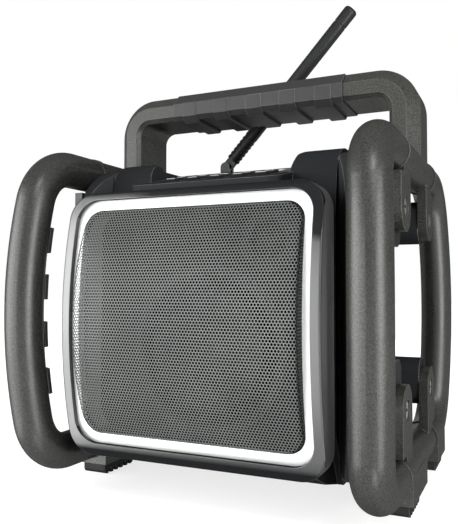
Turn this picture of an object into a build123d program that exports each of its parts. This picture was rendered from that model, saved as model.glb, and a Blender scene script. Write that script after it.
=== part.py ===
from build123d import *
from math import atan, cos, radians, sin, sqrt
import os

os.makedirs("parts", exist_ok=True)

# Rugged tabletop radio. Millimetres, +Z up, the front faces -Y, and the floor is at Z 0.
SIDES = {"left": -1, "right": 1}
WAYS = {"front": -1, "rear": 1}

# ---- driving dimensions ----
fit = 0.2  # moulded parts that slip together
seat = 0.3  # round faces that lie against each other
wall = 3.0
case_half = 113.5  # half the case's width: the rings, lugs, cheeks and battery bay follow it

# side rings: two bent tubes on each side, joined by straight bars
ring_stand = 40.5
ring_x = case_half + ring_stand
tube_r = 17.0
tube_wall = 3.0
ring_low = 35.0
ring_high = 307.0
joint_y = 72.0
bend_start = 112.0
bend_end = 155.6
bend_rise = 35.6
bend_out = 1.8
collar_r = 17.7
collar_len = 5.0
bar_r = 16.5
spigot_len = 20.0
bar_bore = 8.0

# finger pads on the front tubes
pad_height = 24.0
pad_pitch = 45.0
pad_proud = 3.5
pad_band = 26.0
pad_count = 4

# carrying handle and its rubber grip
post_depth = 62.5
post_back = 52.0
beam_thick = 28.0
handle_top = 403.0
handle_corner = 41.0
handle_inner_corner = 13.0
handle_bevel = 11.4
handle_inner_bevel = 4.0
grip_half = 95.0
grip_rise = 1.3
grip_sunk = 1.7
rib_width = 17.5
rib_pitch = 37.5
rib_count = 5
rib_proud = 4.4
rib_round = 3.0

# lugs, bosses and the screws through them
lug_y = 66.0
lug_stand = 43.5
lug_thick = 9.0
lug_in = case_half + lug_stand
lug_out = lug_in + lug_thick
lug_r = 21.5
lug_gap = 1.2
high_screw_z = 261.0
low_screw_z = 89.5
boss_half = 19.5
low_boss = {"front": (73.0, 131.0), "rear": (73.0, 119.0)}
high_boss = {"front": (227.0, 280.0), "rear": (237.0, 280.0)}
boss_wall = 4.0
boss_end = 7.0
boss_round = 14.0
screw_post_r = 6.0
screw_r = 2.5
screw_head_r = 8.5
screw_head_thick = 3.4
screw_sink = 4.4
screw_len = 24.0
screw_hole_play = 0.15

# feet and the saddles above them
foot_half = 13.0
foot_top = 11.0
saddle_half = 17.0
front_foot = (-68.0, -17.0)
front_saddle_back = 4.0
rear_foot = (80.0, 131.0)
foot_groove = 4.2
foot_groove_pitch = 8.4
foot_groove_deep = 4.5
foot_corner = 5.0

# case
case_top = 315.0
case_bottom = 24.0
case_back = 100.0
case_front = -99.0
front_low = 68.0
front_high = 250.0
chin_y = -77.0
seam_y = -94.0
seam_z = 288.0
brow_end = -64.0
case_split = 42.0
back_corner = 9.0

# cheeks that cap the sides of the case
cheek_gap = 1.5
cheek_thick = 19.0
cheek_in = case_half + cheek_gap
cheek_out = cheek_in + cheek_thick
cheek_back = 40.0
cheek_bottom = 38.0
cheek_low_front = -113.0
cheek_mid_front = -125.5
cheek_high_front = -122.7
cheek_high_z = 255.0
cheek_top_front = -62.0
cheek_top = 311.0
cheek_corner = 14.0
cheek_slant_y = -93.0
cheek_slant = 14.0
cheek_slant_x = cheek_in + cheek_slant

# speaker head: one shallow cylinder, with its axis along X, shapes bezel, trim and grille
face_r = 435.8
face_mid_z = 162.3
face_front = -156.8
bezel_half = 120.4
bezel_half_z = 117.0
bezel_mid_z = 160.0
bezel_back = -127.0
bezel_corner = 23.0
bezel_proud = 4.0
bezel_edge = 2.0
ledge_half = 102.0
ledge_half_z = 98.2
trim_half = 111.4
trim_half_z = 107.8
trim_side = 7.3
trim_end = 9.3
trim_thick = 3.0
trim_corner = 20.0
trim_inner_corner = 16.0
grille_thick = 1.2
grille_half = 108.0
grille_half_z = 104.2
grille_play = 0.4
grille_rise = 12.0
grille_edge_rise = 1.0
grille_fold = 4.0
neck_half = 107.0
neck_half_z = 104.0
neck_corner = 22.0
nose_half = 74.0
nose_low = 258.0
nose_corner = 9.0
chin_half = 108.0
chin_mid_y = -112.0
chin_mid_z = 33.5
chin_corner = 16.0

# sloping control panel between the shoulders
slope_back = 2.0
slope_rise = 0.235
trough_half = 70.5
trough_wide = 88.5
trough_high = 40.0
trough_reach = 170.0
trough_flare_near = 68.0
trough_flare_far = 36.0
trough_lean = 15.0
shoulder_round = 8.0
panel_half = 62.0
panel_thick = 2.5
panel_near = 120.0
panel_far = 12.0
panel_ledge = 3.0
pocket_deep = 17.0
panel_corner = 5.0
key_wide = 15.0
key_deep = 8.0
key_round = 2.5
key_proud = 2.2
key_gap = 0.3
key_flange = 1.2
key_lip = 1.2
key_pitch = 23.0
key_count = 5
key_rows = (100.5, 80.0)
key_travel = 1.0
key_stem_r = 1.8
key_stem_len = 2.0
window_wide = 84.0
window_deep = 34.0
window_mid = 44.0
window_thick = 1.5
window_lip = 3.0
board_thick = 1.6
switch_size = 6.0
switch_high = 3.0

# drivers
baffle_thick = 8.0
woofer_x = 9.0
woofer_z = 139.0
woofer_r = 72.0
woofer_hole = 64.0
woofer_frame_thick = 3.0
woofer_depth = 46.0
magnet_r = 38.0
magnet_thick = 20.0
coil_r = 17.0
surround_in = 54.0
surround_out = 63.0
surround_rise = 4.0
cone_thick = 0.8
woofer_screw_r = 68.5
woofer_screw_count = 8
tweeter_x = 67.0
tweeter_z = 231.0
tweeter_r = 25.0
tweeter_hole = 19.0
tweeter_thick = 4.0
tweeter_depth = 22.0
dome_r = 13.0
dome_rise = 5.0

# antenna
mast_x = -74.0
mast_y = 80.0
pivot_z = 336.0
mast_lean = 42.9
whip_len = 229.0
whip_r = 7.75
sleeve_r = 7.2
sleeve_start = 12.0
sleeve_end = 46.0
sleeve_ring = 0.7
tongue_half = 2.6
fork_half = 6.0
fork_r = 6.0
pin_r = 1.6
pin_play = 0.06
tip_cap = 22.0
base_r = 11.0
base_high = 6.0
base_edge = 1.5
turret_r = 7.5

# back of the case
socket_wide = 28.0
socket_inset = 26.5
socket_x = case_half - socket_inset
door_clear = 5.0
door_half = socket_x - socket_wide / 2 - door_clear
tray_inset = 3.2
tray_half = door_half - tray_inset
tray_low = 64.0
tray_high = 208.0
tray_front = 58.0
tray_wall = 2.0
door_ledge = 4.0
door_thick = 3.0
door_gap = 0.3
door_low = 62.5
door_high = 210.5
hinge_y = 104.2
hinge_z = 58.0
hinge_r = 3.4
hinge_pin_r = 1.5
hinge_play = 0.06
hinge_x = 42.0
hinge_len = 14.0
ear_thick = 3.0
ear_gap = 0.3
cell_r = 17.1
contact_thick = 1.6
cell_len = tray_half - tray_wall - fit - contact_thick
socket_z = 130.0
socket_tall = 84.0
socket_thick = 3.0
socket_round = 5.0
jack_r = 3.2
jack_back = 14.0
jack_rises = (8.0, 26.0)
inlet_drop = 22.0
inlet_long = 16.0
inlet_wide = 7.0
cover_thick = 3.0
cover_half = 9.0
cover_drop = 4.0
cover_ear = 2.0
post_r = 5.0
post_bore = 2.2
post_in_x = 7.0
post_in_z = 14.0
case_screw_r = 2.0
case_screw_head = 4.0
case_screw_len = 72.0
front_post_len = 22.0

# boards and power supply
board_z = 34.0
board_mid_y = -12.0
board_post_r = 4.0
board_posts = (80.0, 35.0)
main_board_half = (88.0, 43.0)
block_high = 14.0
blocks = [(-50.0, -30.0, 30.0, 20.0), (10.0, -20.0, 24.0, 24.0), (55.0, 5.0, 40.0, 12.0)]
supply_size = (30.0, 40.0, 42.0)
supply_inset = 33.5
supply_place = (case_half - supply_inset, 70.0)

# ---- places worked out from them ----
ring_mid = (ring_low + ring_high) / 2
face_axis_y = face_front + face_r
slope = atan(slope_rise)
slope_up = (0, -sin(slope), cos(slope))
panel_plane = Plane(origin=(0, slope_back, case_top), x_dir=(1, 0, 0), z_dir=slope_up)
bezel_low = bezel_mid_z - bezel_half_z
front_reach = face_front - bezel_proud - wall
beam_top_inner = handle_top - beam_thick
post_mid_y = post_back - post_depth / 2


def face_cylinder(depth):
    """Solid behind the curved speaker face, a given depth behind its foremost surface."""
    with BuildPart() as behind:
        with BuildSketch(Plane.YZ):
            with Locations((face_axis_y, face_mid_z)):
                Circle(face_r - depth)
        extrude(amount=bezel_half + wall, both=True)
    return behind.part


def face_plate(half, half_z, corner, near, far, mid_z=face_mid_z):
    """Rounded plate of the speaker head between two planes of constant Y."""
    with BuildPart() as plate:
        with BuildSketch(Plane.XZ.offset(-far)):
            with Locations((0, mid_z)):
                RectangleRounded(2 * half, 2 * half_z, corner)
        extrude(amount=far - near)
    return plate.part


# ---- case: one shell, parted into a front and a rear housing ----
with BuildSketch(Plane.YZ) as case_side:
    with BuildLine():
        brow = TangentArc((brow_end, case_top), (seam_y, seam_z), tangent=(-1, 0))
        Polyline(
            brow @ 1,
            (case_front, front_high),
            (case_front, front_low),
            (chin_y, case_bottom),
            (case_back, case_bottom),
            (case_back, case_top),
            brow @ 0,
        )
    make_face()
    fillet(case_side.vertices().group_by(Axis.X)[-1], radius=back_corner)

with BuildSketch(Plane.YZ) as case_hollow_side:
    add(case_side.sketch_local)
    offset(amount=-wall, kind=Kind.INTERSECTION, mode=Mode.REPLACE)


def trough(grow=0.0):
    """Space above the control panel, wider at the back, or the same with a wall kept round it."""
    half = trough_half + grow
    wide = trough_wide + grow
    with BuildPart() as space:
        with BuildSketch(panel_plane.offset(-grow)):
            Polygon(
                (half, -trough_reach),
                (half, -trough_flare_near),
                (wide, -trough_flare_far),
                (wide, 0),
                (-wide, 0),
                (-wide, -trough_flare_far),
                (-half, -trough_flare_near),
                (-half, -trough_reach),
                align=None,
            )
        extrude(amount=trough_high, taper=-trough_lean)
    return space.part


with BuildPart() as nose:
    with BuildSketch(Plane.XY.offset(nose_low)) as nose_plan:
        with Locations((0, (bezel_back + brow_end) / 2)):
            Rectangle(2 * nose_half, brow_end - bezel_back)
        fillet(nose_plan.vertices().group_by(Axis.Y)[0], radius=nose_corner)
    extrude(amount=case_top - nose_low)
    split(bisect_by=panel_plane, keep=Keep.BOTTOM)

chin_top = face_mid_z - neck_half_z + neck_corner
neck_low = face_mid_z - neck_half_z

with BuildPart() as chin:
    with BuildSketch(Plane.YZ):
        Polygon(
            (bezel_back, chin_top),
            (bezel_back, bezel_low),
            (chin_mid_y, chin_mid_z),
            (chin_y, case_bottom),
            (chin_y, chin_top),
            align=None,
        )
    extrude(amount=chin_half, both=True)
    fillet(chin.edges().filter_by(Axis.Z).group_by(Axis.Y)[0], radius=chin_corner)

with BuildPart() as chin_hollow:
    with BuildSketch(Plane.YZ):
        Polygon(
            (bezel_back + wall, neck_low),
            (bezel_back + wall, bezel_low + wall / 2),
            (chin_mid_y + wall / 2, chin_mid_z + wall),
            (chin_y, case_bottom + wall),
            (chin_y + post_r, case_bottom + wall),
            (chin_y + post_r, neck_low),
            align=None,
        )
    extrude(amount=chin_half - wall, both=True)
    fillet(chin_hollow.edges().filter_by(Axis.Z).group_by(Axis.Y)[0], radius=chin_corner - wall)

with BuildPart() as case_cavity:
    extrude(case_hollow_side.sketch, amount=case_half - wall, both=True)
    add(trough(grow=wall + panel_thick), mode=Mode.SUBTRACT)
    add(
        face_plate(
            neck_half - wall,
            neck_half_z - wall,
            neck_corner - wall,
            bezel_back - wall,
            case_front + wall,
        )
    )

panel_deep = panel_near - panel_far
panel_mid_s = (panel_near + panel_far) / 2
panel_middle = panel_plane.from_local_coords((0, -panel_mid_s, 0))
panel_mid = Plane(panel_middle, x_dir=(1, 0, 0), z_dir=slope_up)
panel_up = Axis(panel_mid.origin, slope_up)

with BuildPart() as case_shell:
    extrude(case_side.sketch, amount=case_half, both=True)
    add(face_plate(neck_half, neck_half_z, neck_corner, bezel_back, case_front + wall))
    add(nose.part)
    add(chin.part)
    add(case_cavity.part, mode=Mode.SUBTRACT)
    add(chin_hollow.part, mode=Mode.SUBTRACT)
    add(trough(), mode=Mode.SUBTRACT)
    top_edges = case_shell.edges().group_by(Axis.Z)[-1]
    fillet(
        top_edges.filter_by(lambda edge: trough_half < abs(edge.center().X) < trough_wide + wall),
        radius=shoulder_round,
    )
    with BuildSketch(panel_mid.offset(-pocket_deep)):
        RectangleRounded(2 * (panel_half - panel_ledge), panel_deep - 2 * panel_ledge, panel_corner)
    extrude(amount=pocket_deep, mode=Mode.SUBTRACT)
    with BuildSketch(panel_mid.offset(-panel_thick)):
        RectangleRounded(2 * (panel_half + fit), panel_deep + 2 * fit, panel_corner)
    extrude(amount=panel_thick, mode=Mode.SUBTRACT)

post_places = [
    (side * (case_half - post_in_x), z)
    for side in SIDES.values()
    for z in (case_bottom + post_in_z, face_mid_z, case_top - post_in_z)
]


def boss_outline(way, span, inset=0.0):
    """Rounded upright outline of a boss, drawn in Y and Z."""
    low, high = span
    with BuildSketch() as outline:
        with Locations((way * lug_y, (low + high) / 2)):
            RectangleRounded(2 * (boss_half - inset), high - low - 2 * inset, boss_round - inset)
    return outline.sketch


boss_spans = {high_screw_z: high_boss, low_screw_z: low_boss}
split_plane = Plane.XZ.offset(-case_split)

# ---- front housing ----
with BuildPart() as front_housing:
    add(case_shell.part)
    split(bisect_by=split_plane, keep=Keep.TOP)
    with BuildSketch(split_plane):
        with Locations(*post_places):
            Circle(post_r)
    extrude(amount=front_post_len)
    with BuildSketch(Plane.XY.offset(case_bottom + wall)):
        with Locations((0, board_mid_y)):
            with GridLocations(2 * board_posts[0], 2 * board_posts[1], 2, 2):
                Circle(board_post_r)
    extrude(amount=board_z - case_bottom - wall)
    with BuildSketch(split_plane):
        with Locations(*post_places):
            Circle(post_bore)
    extrude(amount=case_screw_len, mode=Mode.SUBTRACT)
front_housing.part.label = "front_housing"
export_step(front_housing.part, "parts/front_housing.step")

# ---- rear housing ----
ear_low = hinge_z - hinge_r
ear_high = hinge_z + hinge_r
ear_places = [
    side * hinge_x + end * (hinge_len / 2 + ear_gap + ear_thick / 2)
    for side in SIDES.values()
    for end in (-1, 1)
]
back_face = Plane.XZ.offset(-case_back)
inner_back = case_back - wall

with BuildPart() as rear_housing:
    add(case_shell.part)
    split(bisect_by=split_plane, keep=Keep.BOTTOM)
    with BuildSketch(split_plane):
        with Locations(*post_places):
            Circle(post_r)
    extrude(amount=-(inner_back - case_split))
    for screw_z, spans in boss_spans.items():
        for side in SIDES.values():
            base = Plane.YZ.offset(side * (case_half - wall))
            with BuildSketch(base):
                add(boss_outline(1, spans["rear"]))
            extrude(amount=side * (lug_in - case_half + wall))
            with BuildSketch(base):
                add(boss_outline(1, spans["rear"], boss_wall))
                with Locations((lug_y, screw_z)):
                    Circle(screw_post_r, mode=Mode.SUBTRACT)
            extrude(amount=side * (lug_in - case_half + wall - boss_end), mode=Mode.SUBTRACT)
            with BuildSketch(Plane.YZ.offset(side * lug_in)):
                with Locations((lug_y, screw_z)):
                    Circle(screw_r + screw_hole_play)
            extrude(amount=-side * screw_len, mode=Mode.SUBTRACT)
    with BuildSketch(back_face):
        with Locations((0, (tray_low + tray_high) / 2)):
            Rectangle(2 * (tray_half - tray_wall), tray_high - tray_low - 2 * tray_wall)
        with Locations((socket_x, socket_z)):
            RectangleRounded(socket_wide - 2 * wall, socket_tall - 2 * wall, socket_round - wall / 2)
        with Locations(*post_places):
            Circle(case_screw_head + fit)
    extrude(amount=wall, mode=Mode.SUBTRACT)
    with BuildSketch(back_face):
        with Locations(*post_places):
            Circle(post_bore)
    extrude(amount=case_back - case_split, mode=Mode.SUBTRACT)
    for x in ear_places:
        with BuildSketch(Plane.YZ.offset(x)):
            with Locations((hinge_y, hinge_z)):
                Circle(hinge_r)
            with Locations(((inner_back + hinge_y) / 2, hinge_z)):
                Rectangle(hinge_y - inner_back, ear_high - ear_low)
            with Locations((hinge_y, hinge_z)):
                Circle(hinge_pin_r, mode=Mode.SUBTRACT)
        extrude(amount=ear_thick / 2, both=True)
rear_housing.part.label = "rear_housing"
export_step(rear_housing.part, "parts/rear_housing.step")

# ---- cheeks: hollow caps on both sides of the case, each with two bosses ----
with BuildSketch() as cheek_side:
    with BuildLine():
        brim = ThreePointArc(
            (cheek_low_front, cheek_bottom),
            (cheek_mid_front, face_mid_z),
            (cheek_high_front, cheek_high_z),
        )
        shoulder = TangentArc(brim @ 1, (cheek_top_front, cheek_top), tangent=brim % 1)
        Polyline(
            shoulder @ 1,
            (cheek_back, cheek_top),
            (cheek_back, cheek_bottom),
            brim @ 0,
        )
    make_face()
    fillet(vertices().group_by(Axis.X)[-1], radius=cheek_corner)

slant_run = (cheek_slant_x - cheek_in) / (cheek_slant_y - cheek_high_front)
wedge_front = cheek_mid_front - cheek_corner
cheek_deep = cheek_out - cheek_in


def cheek_wedge(side, back=0.0):
    """Block that cuts the slanted inner front of a cheek, set back by a wall for its hollow."""
    start_y = cheek_slant_y + back
    with BuildPart() as block:
        with BuildSketch(Plane.XY):
            Polygon(
                (side * (cheek_in - cheek_deep), start_y),
                (side * cheek_in, start_y),
                (side * (cheek_in + slant_run * (start_y - wedge_front)), wedge_front),
                (side * (cheek_in - cheek_deep), wedge_front),
                align=None,
            )
        extrude(amount=case_top)
    return block.part


for hand, side in SIDES.items():
    with BuildPart() as cheek_hollow:
        with BuildSketch(Plane.YZ.offset(side * case_half)):
            add(cheek_side.sketch)
            offset(amount=-wall, kind=Kind.INTERSECTION, mode=Mode.REPLACE)
        extrude(amount=side * (cheek_out - wall - case_half))
        add(cheek_wedge(side, 2 * wall), mode=Mode.SUBTRACT)
    with BuildPart() as cheek:
        with BuildSketch(Plane.YZ.offset(side * cheek_in)):
            add(cheek_side.sketch)
        extrude(amount=side * cheek_deep)
        add(cheek_wedge(side), mode=Mode.SUBTRACT)
        fillet(cheek.faces().sort_by(Axis.X)[-1 if side > 0 else 0].edges(), radius=wall / 2)
        with BuildSketch(Plane.YZ.offset(side * case_half)):
            add(cheek_side.sketch)
            offset(amount=-wall / 2, kind=Kind.INTERSECTION, mode=Mode.REPLACE)
            with Locations((cheek_slant_y - cheek_deep, face_mid_z)):
                Rectangle(2 * (cheek_deep + wall), 2 * case_top, mode=Mode.SUBTRACT)
        extrude(amount=side * (cheek_in - case_half))
        add(cheek_hollow.part, mode=Mode.SUBTRACT)
        for screw_z, spans in boss_spans.items():
            with BuildSketch(Plane.YZ.offset(side * (cheek_out - wall / 2))):
                add(boss_outline(-1, spans["front"]))
            extrude(amount=side * (lug_in - cheek_out + wall / 2))
            with BuildSketch(Plane.YZ.offset(side * cheek_in)):
                add(boss_outline(-1, spans["front"], boss_wall))
            extrude(amount=side * (lug_in - boss_end - cheek_in), mode=Mode.SUBTRACT)
            with BuildSketch(Plane.YZ.offset(side * cheek_in)):
                with Locations((-lug_y, screw_z)):
                    Circle(screw_post_r)
            extrude(amount=side * (lug_in - boss_end - cheek_in))
            with BuildSketch(Plane.YZ.offset(side * lug_in)):
                with Locations((-lug_y, screw_z)):
                    Circle(screw_r + screw_hole_play)
            extrude(amount=-side * screw_len, mode=Mode.SUBTRACT)
    cheek.part.label = f"{hand}_cheek"
    export_step(cheek.part, f"parts/{hand}_cheek.step")

# ---- speaker head: bezel, bright trim and domed grille ----
grille_depth = trim_thick + grille_thick
opening_half = trim_half - trim_side
opening_half_z = trim_half_z - trim_end

with BuildPart() as speaker_bezel:
    add(face_plate(bezel_half, bezel_half_z, bezel_corner, front_reach, bezel_back, bezel_mid_z))
    add(face_cylinder(-bezel_proud), mode=Mode.INTERSECT)
    fillet(speaker_bezel.faces().sort_by(Axis.Y)[0].outer_wire().edges(), radius=bezel_edge)
    add(face_plate(ledge_half, ledge_half_z, neck_corner, front_reach, bezel_back), mode=Mode.SUBTRACT)
    add(
        face_plate(trim_half + fit, trim_half_z + fit, trim_corner + fit, front_reach, bezel_back)
        - face_cylinder(grille_depth),
        mode=Mode.SUBTRACT,
    )
speaker_bezel.part.label = "speaker_bezel"
export_step(speaker_bezel.part, "parts/speaker_bezel.step")

with BuildPart() as silver_trim:
    add(face_plate(trim_half, trim_half_z, trim_corner, front_reach, bezel_back))
    add(
        face_plate(opening_half, opening_half_z, trim_inner_corner, front_reach, bezel_back),
        mode=Mode.SUBTRACT,
    )
    add(face_cylinder(0), mode=Mode.INTERSECT)
    add(face_cylinder(trim_thick), mode=Mode.SUBTRACT)
silver_trim.part.label = "silver_trim"
export_step(silver_trim.part, "parts/silver_trim.step")

dome_half = opening_half - grille_play
dome_half_z = opening_half_z - grille_play
dome_front = face_front - grille_rise
dome_sag = face_r - sqrt(face_r**2 - dome_half_z**2) + grille_rise - grille_edge_rise
sheet_r = (dome_half_z**2 + dome_sag**2) / (2 * dome_sag)


def grille_dome(inset):
    """Domed block that fills the trim frame, smaller by the sheet's gauge for the hollow behind it."""
    corner = trim_inner_corner - grille_play - inset
    with BuildPart() as block:
        add(face_plate(dome_half - inset, dome_half_z - inset, corner, dome_front - wall, bezel_back))
        with BuildSketch(Plane.YZ):
            with Locations((dome_front + sheet_r, face_mid_z)):
                Circle(sheet_r - inset)
        extrude(amount=trim_half, both=True, mode=Mode.INTERSECT)
        fillet(block.faces().sort_by(Axis.Y)[0].edges(), radius=grille_fold - inset)
    return block.part


with BuildPart() as speaker_grille:
    add(face_plate(grille_half, grille_half_z, trim_inner_corner, front_reach, bezel_back))
    add(face_cylinder(trim_thick), mode=Mode.INTERSECT)
    add(grille_dome(0))
    add(grille_dome(grille_thick), mode=Mode.SUBTRACT)
    add(face_cylinder(grille_depth), mode=Mode.SUBTRACT)
speaker_grille.part.label = "speaker_grille"
export_step(speaker_grille.part, "parts/speaker_grille.step")

# ---- baffle and the two drivers ----
woofer_plane = Plane(origin=(woofer_x, bezel_back, woofer_z), x_dir=(1, 0, 0), z_dir=(0, 1, 0))
tweeter_plane = Plane(origin=(tweeter_x, bezel_back, tweeter_z), x_dir=(1, 0, 0), z_dir=(0, 1, 0))
driver_screw_r = 2.0
driver_screw_head = 3.2
driver_screw_rise = 1.6
driver_screw_len = 9.0
tweeter_screw_r = 21.5
tweeter_screw_count = 4

with BuildPart() as speaker_baffle:
    add(
        face_plate(
            neck_half - wall - fit,
            neck_half_z - wall - fit,
            neck_corner - wall,
            bezel_back,
            bezel_back + baffle_thick,
        )
    )
    with BuildSketch(woofer_plane):
        Circle(woofer_hole)
        with PolarLocations(woofer_screw_r, woofer_screw_count):
            Circle(driver_screw_r)
    extrude(amount=baffle_thick, mode=Mode.SUBTRACT)
    with BuildSketch(tweeter_plane):
        Circle(tweeter_hole)
        with PolarLocations(tweeter_screw_r, tweeter_screw_count, start_angle=45):
            Circle(driver_screw_r)
    extrude(amount=baffle_thick, mode=Mode.SUBTRACT)
speaker_baffle.part.label = "speaker_baffle"
export_step(speaker_baffle.part, "parts/speaker_baffle.step")


def driver_axes(centre_x, centre_z):
    """Plane whose X is the radius and whose Y runs back from the baffle, and the axis to turn it round."""
    origin = (centre_x, bezel_back, centre_z)
    return Plane(origin=origin, x_dir=(1, 0, 0), z_dir=(0, 0, 1)), Axis(origin, (0, 1, 0))


woofer_section, woofer_axis = driver_axes(woofer_x, woofer_z)
tweeter_section, tweeter_axis = driver_axes(tweeter_x, tweeter_z)
basket_wall = 2.0
basket_back_r = magnet_r - 4.0
basket_windows = 6
window_r = 9.0
window_ring_r = (basket_back_r + woofer_hole) / 2
basket_rim_r = woofer_hole - 2 * fit
cone_depth = 28.0
pole_r = coil_r - 2.5
pole_front = cone_depth + 4.0
former_thick = 0.8

with BuildPart() as woofer_basket:
    with BuildSketch(woofer_section):
        Polygon(
            (woofer_r, -woofer_frame_thick),
            (woofer_r, 0),
            (basket_rim_r, 0),
            (basket_rim_r, baffle_thick),
            (basket_back_r, woofer_depth - basket_wall),
            (basket_back_r, woofer_depth),
            (coil_r + former_thick, woofer_depth),
            (coil_r + former_thick, woofer_depth - basket_wall),
            (basket_back_r - basket_wall, woofer_depth - basket_wall),
            (basket_rim_r - basket_wall, baffle_thick),
            (basket_rim_r - basket_wall, -woofer_frame_thick),
            align=None,
        )
    revolve(axis=woofer_axis)
    with BuildSketch(woofer_plane.offset(baffle_thick)):
        with PolarLocations(window_ring_r, basket_windows):
            Circle(window_r)
    extrude(amount=woofer_depth, mode=Mode.SUBTRACT)
    with BuildSketch(woofer_plane.offset(-woofer_frame_thick)):
        with PolarLocations(woofer_screw_r, woofer_screw_count):
            Circle(driver_screw_r)
    extrude(amount=woofer_frame_thick, mode=Mode.SUBTRACT)
woofer_basket.part.label = "woofer_basket"
export_step(woofer_basket.part, "parts/woofer_basket.step")

with BuildPart() as woofer_magnet:
    with BuildSketch(woofer_section):
        Polygon(
            (0, pole_front),
            (pole_r, pole_front),
            (pole_r, woofer_depth),
            (magnet_r, woofer_depth),
            (magnet_r, woofer_depth + magnet_thick),
            (0, woofer_depth + magnet_thick),
            align=None,
        )
    revolve(axis=woofer_axis)
woofer_magnet.part.label = "woofer_magnet"
export_step(woofer_magnet.part, "parts/woofer_magnet.step")

cone_front = -woofer_frame_thick
with BuildPart() as woofer_cone:
    with BuildSketch(woofer_section):
        Polygon(
            (surround_in, cone_front),
            (surround_in + cone_thick, cone_front),
            (surround_in + cone_thick, cone_front + cone_thick),
            (coil_r, cone_depth + 2 * cone_thick),
            (coil_r, woofer_depth),
            (coil_r - former_thick, woofer_depth),
            (coil_r - former_thick, cone_depth),
            align=None,
        )
    revolve(axis=woofer_axis)
woofer_cone.part.label = "woofer_cone"
export_step(woofer_cone.part, "parts/woofer_cone.step")

roll_r = (surround_out - surround_in) / 2
roll_mid = (surround_out + surround_in) / 2
surround_tab = 2.5
with BuildPart() as woofer_surround:
    with BuildSketch(woofer_section) as roll:
        with Locations((roll_mid, cone_front)):
            Circle(roll_r)
            Circle(roll_r - cone_thick, mode=Mode.SUBTRACT)
            Rectangle(2 * roll_r, roll_r, align=(Align.CENTER, Align.MIN), mode=Mode.SUBTRACT)
        with Locations((surround_out - cone_thick, cone_front)):
            Rectangle(surround_tab, cone_thick, align=(Align.MIN, Align.MAX))
        with Locations((surround_in + cone_thick, cone_front)):
            Rectangle(surround_tab, cone_thick, align=(Align.MAX, Align.MAX))
    revolve(axis=woofer_axis)
woofer_surround.part.label = "woofer_surround"
export_step(woofer_surround.part, "parts/woofer_surround.step")

cap_rise = 6.0
with BuildPart() as woofer_dust_cap:
    with BuildSketch(woofer_section):
        with BuildLine():
            crown = Line((0, cone_depth - cap_rise), (0, cone_depth - cap_rise + cone_thick))
            rim = Line((coil_r - former_thick, cone_depth), (coil_r - 2 * former_thick, cone_depth))
            TangentArc(crown @ 0, rim @ 0, tangent=(1, 0))
            TangentArc(crown @ 1, rim @ 1, tangent=(1, 0))
        make_face()
    revolve(axis=woofer_axis)
woofer_dust_cap.part.label = "woofer_dust_cap"
export_step(woofer_dust_cap.part, "parts/woofer_dust_cap.step")

tweeter_back_r = tweeter_hole - fit
horn_r = 16.5
dome_seat = 1.0
with BuildPart() as tweeter_body:
    with BuildSketch(tweeter_section):
        Polygon(
            (0, dome_seat),
            (dome_r + dome_seat, dome_seat),
            (horn_r, -tweeter_thick),
            (tweeter_r, -tweeter_thick),
            (tweeter_r, 0),
            (tweeter_back_r, 0),
            (tweeter_back_r, tweeter_depth),
            (0, tweeter_depth),
            align=None,
        )
    revolve(axis=tweeter_axis)
    with BuildSketch(tweeter_plane.offset(-tweeter_thick)):
        with PolarLocations(tweeter_screw_r, tweeter_screw_count, start_angle=45):
            Circle(driver_screw_r)
    extrude(amount=tweeter_thick, mode=Mode.SUBTRACT)
tweeter_body.part.label = "tweeter_body"
export_step(tweeter_body.part, "parts/tweeter_body.step")

with BuildPart() as tweeter_dome:
    with BuildSketch(tweeter_section):
        with BuildLine():
            dome_rim = (dome_r, dome_seat)
            TangentArc((0, dome_seat - dome_rise), dome_rim, tangent=(1, 0))
            Polyline(dome_rim, (0, dome_seat), (0, dome_seat - dome_rise))
        make_face()
    revolve(axis=tweeter_axis)
tweeter_dome.part.label = "tweeter_dome"
export_step(tweeter_dome.part, "parts/tweeter_dome.step")

with BuildPart() as driver_screws:
    for plane, ring_r, count, start, front in (
        (woofer_plane, woofer_screw_r, woofer_screw_count, 0, woofer_frame_thick),
        (tweeter_plane, tweeter_screw_r, tweeter_screw_count, 45, tweeter_thick),
    ):
        with BuildSketch(plane.offset(-front - driver_screw_rise)):
            with PolarLocations(ring_r, count, start_angle=start):
                Circle(driver_screw_head)
        extrude(amount=driver_screw_rise)
        with BuildSketch(plane.offset(-front)):
            with PolarLocations(ring_r, count, start_angle=start):
                Circle(driver_screw_r)
        extrude(amount=driver_screw_len)
driver_screws.part.label = "driver_screws"
export_step(driver_screws.part, "parts/driver_screws.step")

# ---- side rings: four bent tubes ----


def ring_path(side, way):
    """Arcs of one bent tube from its lower collar to its upper one, bowed forward and outward."""
    low_joint = (side * ring_x, way * joint_y, ring_low)
    high_joint = (side * ring_x, way * joint_y, ring_high)
    low_bend = (side * ring_x, way * bend_start, ring_low)
    high_bend = (side * ring_x, way * bend_start, ring_high)
    low_bow = (side * (ring_x + bend_out), way * bend_end, ring_low + bend_rise)
    high_bow = (side * (ring_x + bend_out), way * bend_end, ring_high - bend_rise)
    with BuildLine() as path:
        Line(low_joint, low_bend)
        lower = TangentArc(low_bend, low_bow, tangent=(0, way, 0))
        bow = TangentArc(low_bow, high_bow, tangent=lower % 1)
        TangentArc(high_bow, high_bend, tangent=bow % 1)
        Line(high_bend, high_joint)
    return path.line, bow


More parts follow.
